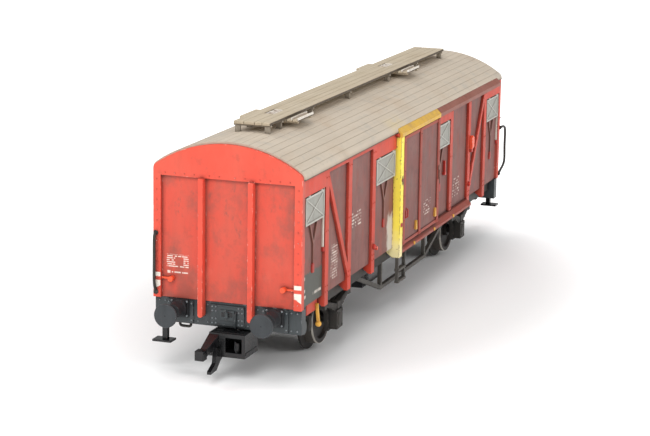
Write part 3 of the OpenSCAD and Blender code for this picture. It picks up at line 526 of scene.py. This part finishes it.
def finish_cad_nodes():
    """Gives each CAD node that stays in sight its finish."""
    def dress(node, finish):
        nodes[node].data.materials.clear()
        nodes[node].data.materials.append(finish)

    shared = {
        "wood": ["floor"], "ballast": ["ballast_weight"], "white": ["roof_vents"], "rod": ["flap_rods"],
        "leg": ["walkway_brackets"], "post": ["door_posts"], "orange": ["lamp_brackets"],
        "amber": ["changeover_levers"], "frame": ["side_frame_left", "side_frame_right"],
        "lower_rail": ["lower_rail_left", "lower_rail_right"],
        "flap": ["vent_flaps_left", "vent_flaps_right"], "steel": ["wheelset_front", "wheelset_rear"],
        "slate": ["headstock_front", "headstock_rear", "rope_hooks"],
        "light_gear": ["truss_left", "truss_right", "door_steps"],
        "gear": ["sole_bars", "middle_sills", "cross_members", "axle_guards_front", "axle_guards_rear",
                 "brake_blocks"],
        "black": ["brake_cylinder", "air_tank", "shunter_steps", "coupler_pockets", "coupler_front",
                  "coupler_rear"],
    }
    for key, names in shared.items():
        for name in names:
            dress(name, finishes[key])
    for side, way in (("left", 1), ("right", -1)):
        dress("side_wall_" + side, side_finish("side_paint_" + side, way))
        dress("top_rail_" + side, rail_finish("top_rail_paint_" + side, way))
        dress("door_" + side, side_finish("door_paint_" + side, way, door=True))
    for end, way in (("front", 1), ("rear", -1)):
        dress("end_wall_" + end, end_finish("end_paint_" + end, way))


# ---- Shapes -------------------------------------------------------------------

def facing(along, across):
    """A place on the wagon for what is drawn at its rear end or on its +Y side."""
    def place(p):
        return Vector((along * p[0], across * p[1], p[2]))
    return place


left, right, front, rear = facing(1, -1), facing(-1, 1), facing(-1, -1), facing(1, 1)
SIDES = {"left": left, "right": right}
ENDS = {"front": front, "rear": rear}


class Shape:
    """A mesh gathered from parts given in millimetres, each put in its place on the wagon."""

    def __init__(self):
        self.mesh = bmesh.new()

    def faces(self, points, faces, place, finish=0):
        """Adds faces, each a list of the numbers of its points."""
        made = [self.mesh.verts.new(place(p) * MM) for p in points]
        for face in faces:
            self.mesh.faces.new([made[i] for i in face]).material_index = finish

    def block(self, low, high, place=rear, edge=0.05, finish=0):
        """A block with chamfered edges."""
        edge = min([edge] + [(h - l) * 0.3 for l, h in zip(low, high)])
        points, index = [], {}
        for sx in (0, 1):
            for sy in (0, 1):
                for sz in (0, 1):
                    sign = (sx, sy, sz)
                    for axis in range(3):
                        p = [high[a] if sign[a] else low[a] for a in range(3)]
                        for a in range(3):
                            if a != axis:
                                p[a] += -edge if sign[a] else edge
                        index[(sign, axis)] = len(points)
                        points.append(p)
        faces = []
        for axis in range(3):
            a, b = [k for k in range(3) if k != axis]
            for s in (0, 1):
                ring = []
                for u, v in ((0, 0), (1, 0), (1, 1), (0, 1)):
                    sign = [0, 0, 0]
                    sign[axis], sign[a], sign[b] = s, u, v
                    ring.append(index[(tuple(sign), axis)])
                faces.append(ring)
        for axis in range(3):
            a, b = [k for k in range(3) if k != axis]
            for u in (0, 1):
                for v in (0, 1):
                    ends = []
                    for s in (0, 1):
                        sign = [0, 0, 0]
                        sign[axis], sign[a], sign[b] = s, u, v
                        ends.append(tuple(sign))
                    near, far = ends
                    faces.append([index[(near, a)], index[(far, a)], index[(far, b)], index[(near, b)]])
        for sign in {key[0] for key in index}:
            faces.append([index[(sign, axis)] for axis in range(3)])
        self.faces(points, faces, place, finish)

    def tube(self, path, radius, place=rear, sides=10, finish=0):
        """A round bar along a path."""
        path = [Vector(p) for p in path]
        points, faces = [], []
        up = Vector((0.31, 0.17, 0.93))
        for i, p in enumerate(path):
            run = (path[min(i + 1, len(path) - 1)] - path[max(i - 1, 0)]).normalized()
            side = run.cross(up).normalized()
            up = side.cross(run)
            points += [p + radius * (math.cos(t) * side + math.sin(t) * up)
                       for t in (2 * math.pi * k / sides for k in range(sides))]
        for i in range(len(path) - 1):
            for k in range(sides):
                n = (k + 1) % sides
                faces.append([i * sides + k, i * sides + n, (i + 1) * sides + n, (i + 1) * sides + k])
        faces += [list(range(sides)), list(range(len(points) - sides, len(points)))]
        self.faces(points, faces, place, finish)

    def turned(self, outline, centre, axis, place=rear, steps=32, finish=0):
        """A turned piece: an outline of (distance along the axis, radius) about centre."""
        axis = Vector(axis).normalized()
        side = axis.orthogonal().normalized()
        up = axis.cross(side)
        points = [Vector(centre) + axis * d + r * (math.cos(t) * side + math.sin(t) * up)
                  for d, r in outline for t in (2 * math.pi * k / steps for k in range(steps))]
        faces = []
        for first in range(0, (len(outline) - 1) * steps, steps):
            for k in range(steps):
                n = (k + 1) % steps
                faces.append([first + k, first + n, first + steps + n, first + steps + k])
        faces += [list(range(steps)), list(range(len(points) - steps, len(points)))]
        self.faces(points, faces, place, finish)

    def rivet(self, centre, axis, place=rear, radius=0.14, finish=0):
        """A domed head."""
        self.turned([(-0.05, radius), (0.03, radius), (0.09, radius * 0.75), (0.12, radius * 0.3)],
                    centre, axis, place, 8, finish)

    def slab(self, outline, low, high, axis, place=rear, finish=0):
        """A flat outline made thick from low to high along an axis."""
        def put(p, d):
            p = list(p)
            p.insert(axis, d)
            return p
        n = len(outline)
        points = [put(p, low) for p in outline] + [put(p, high) for p in outline]
        faces = [[k, (k + 1) % n, n + (k + 1) % n, n + k] for k in range(n)]
        faces += [list(range(n)), list(range(n, 2 * n))]
        self.faces(points, faces, place, finish)

    def bar(self, start, end, width, low, high, axis, place=rear, finish=0):
        """A flat strip from start to end, width wide, made thick along an axis."""
        a, b = Vector(start), Vector(end)
        side = (b - a).normalized()
        side = Vector((-side.y, side.x)) * (width / 2)
        self.slab([a + side, a - side, b - side, b + side], low, high, axis, place, finish)

    def done(self, name, finishes, body="wagon", slot="gear_grey", replaces=()):
        """Makes the piece: it rides on a body and stands for the CAD nodes that it replaces."""
        bmesh.ops.recalc_face_normals(self.mesh, faces=self.mesh.faces)
        data = bpy.data.meshes.new(name)
        self.mesh.to_mesh(data)
        self.mesh.free()
        for finish in finishes:
            data.materials.append(finish)
        data.polygons.foreach_set("use_smooth", [True] * len(data.polygons))
        data.set_sharp_from_angle(angle=math.radians(35))
        piece = bpy.data.objects.new(name, data)
        bpy.context.scene.collection.objects.link(piece)
        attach(piece, body)
        if replaces:
            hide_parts(*replaces)


def smooth_path(points, steps=6):
    """A smooth line through points."""
    points = [Vector(p) for p in points]
    ends = [2 * points[0] - points[1]] + points + [2 * points[-1] - points[-2]]
    path = []
    for i in range(1, len(ends) - 2):
        a, b, c, d = ends[i - 1:i + 3]
        for k in range(steps):
            t = k / steps
            path.append(0.5 * (2 * b + (c - a) * t + (2 * a - 5 * b + 4 * c - d) * t * t
                               + (3 * b - a - 3 * c + d) * t ** 3))
    return path + [points[-1]]


# ---- Roof ---------------------------------------------------------------------

def arch_point(s, inset=0.0):
    """The point on the roof's outline at arc length s from its top, and inset below the surface."""
    way = -1 if s < 0 else 1
    s = abs(s)
    if s < crown_r * eave_turn:
        a, r = s / crown_r, crown_r - inset
        return (way * r * math.sin(a), roof_high.z - crown_r + r * math.cos(a))
    a, r = min(eave_turn + (s - crown_r * eave_turn) / EAVE_R, math.pi / 2), EAVE_R - inset
    return (way * (roof_half - EAVE_R + r * math.sin(a)), eave_z + r * math.cos(a))


def arch_length():
    """The roof outline's length from its top to the end of the eave's curve."""
    return crown_r * eave_turn + EAVE_R * (math.pi / 2 - eave_turn)


def roof_boards():
    """The arched roof with a groove between every two of its boards."""
    groove, depth = 0.05, 0.05
    half = arch_length()
    line, grooved = [], []
    edge = -half
    first = math.ceil((-half - BOARD_W / 2) / BOARD_W)
    seams = [BOARD_W * (k + 0.5) for k in range(first, -first) if abs(BOARD_W * (k + 0.5)) < half - 0.4]
    for seam in seams + [half]:
        steps = 4
        stop = seam - groove if seam < half else half
        for k in range(steps + 1):
            line.append((edge + (stop - edge) * k / steps, 0.0))
            grooved.append(False)
        if seam < half:
            grooved[-1] = True
            line.append((seam, depth))
            grooved.append(True)
            edge = seam + groove
    outer = [arch_point(s, inset) for s, inset in line]
    inner = [arch_point(s, ROOF_T) for s, inset in line]
    outer = [(-roof_half, roof_low.z)] + outer + [(roof_half, roof_low.z)]
    inner = [(-roof_half + ROOF_T, roof_low.z)] + inner + [(roof_half - ROOF_T, roof_low.z)]
    grooved = [False] + grooved + [False]
    n = len(outer)
    shape = Shape()
    stations = [roof_low.x + (roof_high.x - roof_low.x) * k / 24 for k in range(25)]
    points = [(x, y, z) for x in stations for y, z in outer + inner]
    made = [shape.mesh.verts.new(Vector(p) * MM) for p in points]

    def face(ids, finish):
        shape.mesh.faces.new([made[i] for i in ids]).material_index = finish
    for s in range(len(stations) - 1):
        a, b = s * 2 * n, (s + 1) * 2 * n
        for k in range(n - 1):
            face([a + k, a + k + 1, b + k + 1, b + k], 1 if grooved[k] else 0)
            face([a + n + k, a + n + k + 1, b + n + k + 1, b + n + k], 0)
        for k in (0, n - 1):
            face([a + k, a + n + k, b + n + k, b + k], 0)
    for s in (0, len(stations) - 1):
        a = s * 2 * n
        for k in range(n - 1):
            face([a + k, a + k + 1, a + n + k + 1, a + n + k], 0)
    shape.done("roof_boards", [finishes["roof"], finishes["seam"]], slot="roof_grey", replaces=["roof"])


def walk_boards(shape, vents):
    """Four long boards. One is left open over the vents, and the others have butt joints."""
    low, high, gap = walk_low, walk_high, 0.03
    for row, (y0, y1) in enumerate([(-WALK_HALF, -1.62), (-1.56, -0.46), (-0.4, 1.2), (1.26, WALK_HALF)]):
        if row == 2:
            stops = [low.x] + [x for vent in vents for x in (vent[0].x - 0.4, vent[1].x + 0.4)] + [high.x]
            spans = list(zip(stops[::2], stops[1::2]))
        else:
            shift = 6.0 if row % 2 else -4.0
            stops = [low.x, low.x / 3 + shift, high.x / 3 + shift, high.x]
            spans = [(stops[k] + (gap if k else 0), stops[k + 1]) for k in range(3)]
        for a, b in spans:
            shape.block((a, y0, high.z - WALK_T), (b, y1, high.z), edge=0.06)


def vent_platform(shape, vent):
    """The boards, bearers and white frames around one roof vent."""
    low, high = vent
    middle, half = (low.x + high.x) / 2, 3.2
    top, edge_y = walk_high.z - WALK_T, walk_high.y
    base = top - BATTEN_T
    for side in (-1, 1):
        for k in range(2):
            inner = WALK_HALF + 0.04 + 0.9 * k
            y0, y1 = sorted((side * inner, side * min(inner + 0.84, edge_y)))
            shape.block((middle - half, y0, base), (middle + half, y1, top), edge=0.06)
    for x in (middle - 2.9, middle + 2.5):
        shape.block((x, 0.05 - edge_y, base - 0.25), (x + 0.4, edge_y - 0.05, base + 0.05))
    for y0, y1 in ((-WALK_HALF, -0.45), (1.25, WALK_HALF)):
        shape.block((middle - half, y0, base), (middle + half, y1, top + 0.02), edge=0.04)
    strips = [((low.x - 0.3, y, high.z - 0.05), (high.x + 0.3, y + 0.15, walk_high.z - 0.1))
              for y in (low.y - 0.1, high.y - 0.05)]
    strips += [((x, low.y - 0.1, high.z - 0.05), (x + 0.2, high.y + 0.1, walk_high.z - 0.05))
               for x in (low.x - 0.35, middle - 0.1, high.x + 0.15)]
    strips += [((middle - half - 0.1, y, top - 0.1), (middle + half + 0.1, y + 0.15, top + 0.25))
               for y in (-edge_y - 0.1, -3.7)]
    for a, b in strips:
        shape.block(a, b, edge=0.03, finish=2)


def walkway():
    """The walkway's boards on their cross battens, with a platform at each vent."""
    vents = solids("roof_vents")
    shape = Shape()
    walk_boards(shape, vents)
    for vent in vents:
        vent_platform(shape, vent)
    top, half = walk_high.z - WALK_T, WALK_HALF + 0.15
    for x in sorted({round(low.x, 2) for low, high in solids("walkway_brackets")}):
        shape.block((x, -half, top - 0.25), (x + LEG_W, half, top + 0.02), finish=1)
    shape.done("walkway_boards", [finishes["walk"], finishes["leg"], finishes["white"]], slot="roof_grey",
               replaces=["walkway"])


# ---- Body fittings ------------------------------------------------------------

def flap_pressings():
    """Raised rims and crossed ribs on the vent flaps, with their side strips."""
    rim = 0.3
    for side, place in SIDES.items():
        pressings, strips = Shape(), Shape()
        for low, high in solids("vent_flaps_" + side):
            x0, x1 = sorted((place(low).x, place(high).x))
            y, z0, z1 = max(abs(low.y), abs(high.y)), low.z, high.z
            for a, b in (((x0, z0), (x1, z0 + rim)), ((x0, z1 - rim), (x1, z1)),
                         ((x0, z0 + rim), (x0 + rim, z1 - rim)), ((x1 - rim, z0 + rim), (x1, z1 - rim))):
                pressings.block((a[0], y - 0.05, a[1]), (b[0], y + 0.1, b[1]), place, 0.04, 1)
            pressings.bar((x0 + rim, z0 + rim), (x1 - rim, z1 - rim), 0.2, y - 0.05, y + 0.07, 1, place, 1)
            pressings.bar((x0 + rim, z1 - rim), (x1 - rim, z0 + rim), 0.2, y - 0.05, y + 0.068, 1, place, 1)
            for x in (x0 + 0.95, x1 - 1.65):
                hinge = (x, y + 0.02, z1 + 0.06)
                pressings.turned([(0, 0.16), (0.7, 0.16)], hinge, (1, 0, 0), place, 8, 1)
            if abs(x0 + x1) < 60:
                continue
            for x in (x0 - 0.42, x1 + 0.08):    # only at the wagon's corners
                back, z = wall_y - 0.1, z0 - 4.6
                strips.block((x + 0.06, back, z), (x + 0.26, wall_y + 0.3, z1 + 0.15), place, 0.03)
                strips.block((x, back, z - 0.6), (x + 0.34, wall_y + 0.4, z + 0.1), place, 0.06, finish=1)
        pressings.done("flap_pressings_" + side, [finishes["flap"], finishes["flap_rib"]], slot="flap_grey")
        strips.done("flap_side_strips_" + side, [finishes["white"], finishes["red"]], slot="flap_grey")


def frame_fittings():
    """Knobs, brackets and rivets along each side."""
    out, catch_x, strip_x = (0, 1, 0), POST_X[1] + 0.1, 17.4
    for side, place in SIDES.items():
        shape = Shape()
        for x in (*POST_X, *(-x for x in POST_X), DOOR_POST_X):
            for z in (body_z + 0.5, body_z + 1.3, body_z + 9.5, body_z + 17.4):
                for dx in (-0.42, 0.42):
                    shape.rivet((x + dx, post_y, z), out, place, 0.1)
        for x in (-POST_X[2], POST_X[1]):
            knob = (x, post_y, body_z + 2.6)
            shape.turned([(-0.1, 0.42), (0.25, 0.42), (0.45, 0.26)], knob, out, place, 16, 1)
        # the catch is orange over a red block: the orange is a painted highlight on the lit top of a red
        # bracket
        catch = [(0, 19.9), (1.3, 20.2), (1.3, 21.9), (0.5, 22.3), (0, 21.9)]
        shape.slab([(catch_x + x, z) for x, z in catch], post_y - 0.1, post_y + 0.55, 1, place, 2)
        shape.block((catch_x + 0.2, post_y - 0.1, 19.3), (catch_x + 1.0, post_y + 0.4, 20.0), place, 0.06, 1)
        shape.slab([(-10.15, eave_z - 0.95), (-11.5, eave_z - 0.25), (-10.15, eave_z - 0.25)],
                   post_y - 0.05, post_y + 0.5, 1, place, 1)
        shape.block((strip_x + 0.2, wall_y - 0.1, 18.4), (strip_x + 0.5, post_y, 20.4), place, 0.05, 1)
        shape.block((strip_x, wall_y - 0.1, 17.9), (strip_x + 0.7, post_y + 0.06, 18.5), place, 0.06, 1)
        shape.tube([(-20.2, post_y - 0.1, 13.2), (-20.2, post_y + 0.4, 13.2)], 0.3, place, 12, 2)
        shape.done("side_fittings_" + side, [finishes["frame"], finishes["red"], finishes["orange"]],
                   slot="frame_red")


def post_fittings():
    """The dark latch plate and the catch on each yellow door post."""
    face = -mm_box("door_posts")[0].y
    for side, place in SIDES.items():
        shape = Shape()
        latch = (-DOOR_POST_X, face, 22.0)
        shape.turned([(-0.05, 0.3), (0.12, 0.3), (0.16, 0.22)], latch, (0, 1, 0), place, 16)
        shape.block((-9.75, face - 0.05, 14.4), (-9.05, face + 0.12, 15.0), place, 0.04)
        shape.done("door_post_latch_" + side, [finishes["rod"]], slot="gear_grey")


def door_fittings():
    """Handles, the latch and the wedges on each door, which move with it, and the lower rail's stops."""
    out, y, rib, latch = (0, 1, 0), door_face, door_face + DOOR_RIB, 10.6
    rail_y = -mm_box("lower_rail_left")[0].y
    for side, place in SIDES.items():
        shape = Shape()
        for x in (-7.35, -6.3):
            handle = [(x, y, 15.3), (x, y + 0.28, 15.5), (x, y + 0.3, 16.6), (x, y, 16.8)]
            shape.tube(handle, 0.11, place, 8)
        shape.turned([(-0.05, 0.4), (0.14, 0.4), (0.2, 0.22)], (latch, rib, 20.5), out, place, 16, 2)
        shape.tube([(latch, rib + 0.08, 20.5), (latch, rib + 0.1, 19.2), (latch - 0.15, rib + 0.1, 18.6)],
                   0.1, place, 8, 2)
        for x in (-1.65, 9.1):
            wedge = [(x, 12.4), (x + 0.7, 12.4), (x + 0.5, 13.9), (x + 0.2, 13.9)]
            shape.slab(wedge, y - 0.05, y + 0.35, 1, place, 1)
        for x in (-8.05, 0.6, 10.7):
            for z in (*(door_low.z + dz for dz in (0.35, 4, 8, 12)), door_high.z - 1.3):
                shape.rivet((x, rib, z), out, place, 0.09, 2)
        shape.done("door_fittings_" + side, [finishes["red"], finishes["amber"], finishes["rod"]],
                   body=side + "_door", slot="frame_red")
        stops = Shape()
        for x in (-2.2, 9.1, 20.5):
            stops.turned([(-0.1, 0.3), (0.1, 0.3), (0.16, 0.18)], (x, rail_y, body_z - 0.75), out, place, 16)
        stops.done("rail_stops_" + side, [finishes["amber"]], slot="post_yellow")


def end_rivets():
    """Rivet rows on the end frames."""
    for end, place in ENDS.items():
        shape = Shape()
        for side in (-1, 1):
            spots = [(side * 10.8, body_z + 0.8 + k * 1.5) for k in range(12)]
            spots += [(side * y, eave_z - 0.5) for y in (1.2, 2.7, 5.0, 6.5, 8.0, 9.5)]
            for y, z in spots:
                shape.rivet((end_x, y, z), (1, 0, 0), place, 0.08)
        shape.done("end_rivets_" + end, [nodes["end_wall_" + end].data.materials[0]], slot="end_red")


# ---- Ends: buffers, headstocks, couplers, handrails ---------------------------

def buffers():
    """Turned buffers on riveted base boxes."""
    base, z, reach = buffer_low.x, (buffer_low.z + buffer_high.z) / 2, buffer_high.x - buffer_low.x
    sleeve = [(0.8, 1.28), (1.0, 1.3), (1.1, 1.2), (2.5, 1.0), (2.55, 1.08), (2.85, 1.08), (2.9, 0.95),
              (2.95, 0.62), (reach - 0.6, 0.62)]
    head = [(reach - d, r) for d, r in ((0.85, 0.62), (0.6, 0.9), (0.45, 1.62), (0.32, 1.74),
                                        (0.14, 1.74), (0.03, 1.66), (0, 1.5), (0, 0.3))]
    out = (1, 0, 0)
    for end, place in ENDS.items():
        shape = Shape()
        for y in (-buffer_y, buffer_y):
            shape.block((base - 0.05, y - 1.4, z - 1.35), (base + 0.35, y + 1.4, z + 1.25), place, 0.1)
            shape.block((base + 0.2, y - 1.1, z - 1.15), (base + 0.95, y + 1.1, z + 1.1), place, 0.22)
            shape.turned(sleeve, (base, y, z), out, place, 48)
            shape.turned(head, (base, y, z), out, place, 48, 1)
            shape.turned([(0, 0.12), (0.02, 0.08)], (buffer_high.x - 0.01, y, z), out, place, 12)
            for dy in (-1.15, 1.15):
                for dz in (-1.08, 1.0):
                    shape.rivet((base + 0.35, y + dy, z + dz), out, place, 0.17, 2)
        shape.done("buffers_turned_" + end, [finishes["dark"], finishes["buffer_face"], finishes["rivet"]],
                   slot="slate", replaces=["buffers_" + end])


def headstock_fittings():
    """Rivets, the middle plate's frame with a black sheet that stands for the shade in its recess, and the
    hook of each headstock.
    """
    x, z0, z1 = head_high.x, head_low.z, head_high.z
    middle, out = (z0 + z1) / 2, (1, 0, 0)
    rivets = [(x, y, z, 0.15) for y in (-2.3, -1.75, 1.75, 2.3)
              for z in (z0 + 0.6, middle - 0.55, middle + 0.55, z1 - 0.6)]
    for side in (-1, 1):
        rivets += [(x - 0.25, side * y, z, 0.13)
                   for y in (3.1, 4.6, 9.7, 10.6) for z in (z0 + 0.5, z1 - 0.5)]
        rivets += [(x, side * buffer_y + dy, z, 0.14)
                   for dy in (-BUFFER_R, BUFFER_R) for z in (z0 + 0.6, z1 - 0.55)]

    def plate(half, low, high):
        return [(-half, low), (half, low), (half, high), (-half, high)]
    for end, place in ENDS.items():
        shape = Shape()
        for *spot, radius in rivets:
            shape.rivet(spot, out, place, radius, 2)
        for z in (z0 + 0.32, z1 - 0.5):
            shape.block((x - 0.1, -2.55, z), (x + 0.08, 2.55, z + 0.18), place, 0.03)
        shape.slab(plate(1.1, middle - 0.7, middle + 0.8), x - 0.02, x + 0.14, 0, place)
        # the black sheet is painted shade standing for the plate's recess
        shape.slab(plate(0.85, middle - 0.15, middle + 0.5), x + 0.1, x + 0.16, 0, place, 1)
        shape.block((x, -0.2, middle - 0.3), (x + 0.55, 0.25, middle + 0.65), place, 0.08)
        shape.tube([(x, 1.35, middle + 0.7), (x + 0.3, 1.35, middle + 0.4), (x + 0.3, 1.3, z0 + 0.3),
                    (x + 0.1, 1.25, z0 + 0.05)], 0.13, place, 8)
        shape.done("headstock_fittings_" + end, [finishes["slate"], finishes["black"], finishes["rivet"]],
                   slot="slate")


def coupler_details():
    """The top plate, side flanges, pin and spring wire on each coupler, which swing with it."""
    low, high = mm_box("coupler_rear")
    x0, x1, top = high.x - 9.3, high.x - 4.3, high.z
    wire = [(x1 + 0.1, 2.2, top - 1.0), (x1 + 0.25, 2.2, top - 2.0), (x1 - 0.3, 2.3, top - 2.9)]
    for end, place in ENDS.items():
        shape = Shape()
        shape.block((x0 + 0.2, -1.7, top - 0.12), (x1 - 0.4, 3.4, top + 0.1), place, 0.08)
        shape.block((x0 + 0.8, -1.2, top + 0.05), (x1 - 1.2, -0.2, top + 0.2), place, 0.06)
        shape.turned([(-0.1, 0.34), (0.22, 0.34), (0.28, 0.2)], (x0 + 2.6, 1.6, top), (0, 0, 1), place, 16)
        for y in (-2.01, 3.49):
            shape.block((x0 + 0.4, y, low.z + 2.2), (x1 - 0.3, y + 0.18, low.z + 2.6), place, 0.04)
        pin = (x1 - 1.0, -1.95, top - 1.5)
        shape.turned([(-0.08, 0.3), (0.16, 0.3), (0.2, 0.16)], pin, (0, -1, 0), place, 12, 1)
        shape.tube(smooth_path(wire), 0.12, place, 8, 1)
        shape.done("coupler_details_" + end, [finishes["black"], finishes["dark"]], body=end + "_coupler",
                   slot="black")


def handrails():
    """Round handrails at two corners, and the grab bars under the headstocks."""
    shape = Shape()
    x, low, high = end_x, 11.8, 20.5
    for place, reach, y in ((front, 0.6, -body_half + 0.4), (rear, 4.0, -body_half)):
        rail = [(x - 0.2, y, high), (x + 0.7 * reach, y, 20.3), (x + reach, y, 19.4), (x + reach, y, 16.5),
                (x + reach, y, 13.5), (x + 0.4 * reach, y, 12.3), (x - 0.2, y, low)]
        shape.tube(smooth_path(rail), 0.22, place, 12)
        for z in (high, low):
            shape.turned([(0, 0.38), (0.12, 0.36), (0.16, 0.2)], (x - 0.02, y, z), (1, 0, 0), place, 12)
        bar = [(-5.9, 0), (-5.95, -0.4), (-6.25, -0.55), (-7.25, -0.55), (-7.55, -0.4), (-7.6, 0)]
        shape.tube(smooth_path([(head_high.x - 0.7, y, head_low.z + z) for y, z in bar]), 0.2, place, 12)
    y = -body_half + 0.45
    shape.tube([(x - 0.3, y, 22.0), (x + 1.5, y, 22.1)], 0.2, rear, 10)
    shape.done("handrails_round", [finishes["gear"]], slot="slate", replaces=["handrails"])


# ---- Running gear -------------------------------------------------------------

def springs():
    """Stacks of curved spring leaves with buckles and shackles, and covers on the axle boxes."""
    half, rise, pitch, leaf_t = 5.4, 1.35, 0.22, 0.19
    face = mm_box("axle_guards_rear")[1].y
    cover = [(-0.05, 1.02), (0.06, 1.02), (0.14, 0.9), (0.16, 0.5)]
    for end, place in ENDS.items():
        shape = Shape()
        for side in (-1, 1):
            def put(p, side=side):
                return place((axle_x + p[0], side * p[1], axle_z + p[2]))
            for leaf in range(5):
                reach = half * (1 - 0.17 * leaf)
                spots = [-reach + 2 * reach * k / 12 for k in range(13)]
                top = [(x, 2.45 + rise * (x / half) ** 2 - pitch * leaf) for x in spots]
                shape.slab(top + [(x, z - leaf_t) for x, z in reversed(top)], 9.05, 10.0, 1, put)
            shape.block((-0.55, 9.0, 1.2), (0.55, 10.12, 2.75), put, 0.1)
            for x in (-half, half):
                shape.turned([(0, 0.3), (1.1, 0.3)], (x, 9.0, 3.85), (0, 1, 0), put, 12)
            shape.turned(cover, (0, face - 0.02, 0), (0, 1, 0), put, 24)
            for x in (-1.0, 1.0):
                for z in (-1.05, 1.15):
                    shape.rivet((x, face, z), (0, 1, 0), put, 0.16)
        shape.done("leaf_springs_" + end, [finishes["gear"]], slot="gear_grey")


def brake_rigging():
    """Pull rods and brake beams under the floor."""
    shape = Shape()
    rod, beam, z = axle_x - 6, 5.6, axle_z + 0.4
    for y in (-1.1, 1.1):
        shape.tube([(-rod, y, axle_z + 2.6), (rod, y, axle_z + 2.6)], 0.2, rear, 8)
    for x in (-axle_x - beam, -axle_x + beam, axle_x - beam, axle_x + beam):
        shape.tube([(x, -7, z), (x, 0, z), (x, 7, z)], 0.22, rear, 8)
        shape.tube([(x, -4.4, z), (x - 0.3, 0, z + 1.2), (x, 4.4, z)], 0.16, rear, 8)
    shape.done("brake_rigging", [finishes["gear"]], slot="gear_grey")


# ---- Studio -------------------------------------------------------------------

def studio():
    """A pale floor that fades to white around the wagon, a soft sky and four lamps, in metres."""
    data = bpy.data.meshes.new("studio_floor")
    data.from_pydata([(-3, -3, 0), (3, -3, 0), (3, 3, 0), (-3, 3, 0)], [], [(0, 1, 2, 3)])
    floor = bpy.data.objects.new("studio_floor", data)
    bpy.context.scene.collection.objects.link(floor)
    pale = Finish("studio_floor_pale", Specular_IOR_Level=0.1, Roughness=0.9)
    away = (pale.x * pale.x + pale.y * pale.y * 2.5).root()
    pale.set(Base_Color=pale.mix(pale.cloud(300), (0.93, 0.93, 0.93, 1), (0.95, 0.95, 0.95, 1)),
             Emission_Color=pale.mix(away.rise(42, 90), (0, 0, 0, 1), (1, 1, 1, 1)), Emission_Strength=0.55)
    data.materials.append(pale.material)

    world = bpy.data.worlds.new("studio")
    bpy.context.scene.world = world
    world.use_nodes = True
    sky = world.node_tree.nodes["Background"]
    sky.inputs["Color"].default_value = (1, 1, 1, 1)
    sky.inputs["Strength"].default_value = 0.43

    def lamp(name, place, aim, size, power):
        light = bpy.data.lights.new(name, "AREA")
        light.shape, light.size, light.energy = "DISK", size, power
        made = bpy.data.objects.new(name, light)
        made.location = place
        made.rotation_euler = (Vector(aim) - Vector(place)).to_track_quat("-Z", "Y").to_euler()
        bpy.context.scene.collection.objects.link(made)

    lamp("key_light", (-0.5, -0.04, 0.42), (0, 0, 0.015), 0.35, 2.0)
    lamp("back_light", (0.0, 0.5, 0.5), (0, 0, 0.015), 0.25, 1.2)
    lamp("top_light", (0.05, 0.05, 0.7), (0, 0, 0.02), 0.6, 0.7)
    lamp("side_light", (-0.12, -0.6, 0.4), (0, 0, 0.015), 0.45, 1.5)
    bpy.context.scene.view_settings.view_transform = "Standard"


def camera():
    """A long lens near the front left corner, a little above the roof, in metres."""
    yaw, pitch, roll = (math.radians(a) for a in (19.41, 12.27, 0.89))
    ahead = Vector((math.cos(pitch) * math.cos(yaw), math.cos(pitch) * math.sin(yaw), -math.sin(pitch)))
    level = Vector((math.sin(yaw), -math.cos(yaw), 0))
    above = level.cross(ahead)
    across = math.cos(roll) * level + math.sin(roll) * above
    up = -math.sin(roll) * level + math.cos(roll) * above
    data = bpy.data.cameras.new("camera")
    data.sensor_fit, data.sensor_width, data.lens = "HORIZONTAL", 36, 117.8
    data.clip_start, data.clip_end = 0.01, 20
    made = bpy.data.objects.new("camera", data)
    matrix = made.matrix_world.copy()
    for row in range(3):
        matrix[row][0], matrix[row][1], matrix[row][2] = across[row], up[row], -ahead[row]
    matrix.translation = Vector((-0.32552, -0.11064, 0.08764))
    made.matrix_world = matrix
    bpy.context.scene.collection.objects.link(made)
    bpy.context.scene.camera = made


finishes = make_finishes()
finish_cad_nodes()
roof_boards()
walkway()
flap_pressings()
frame_fittings()
post_fittings()
door_fittings()
end_rivets()
buffers()
headstock_fittings()
coupler_details()
handrails()
springs()
brake_rigging()
studio()
camera()
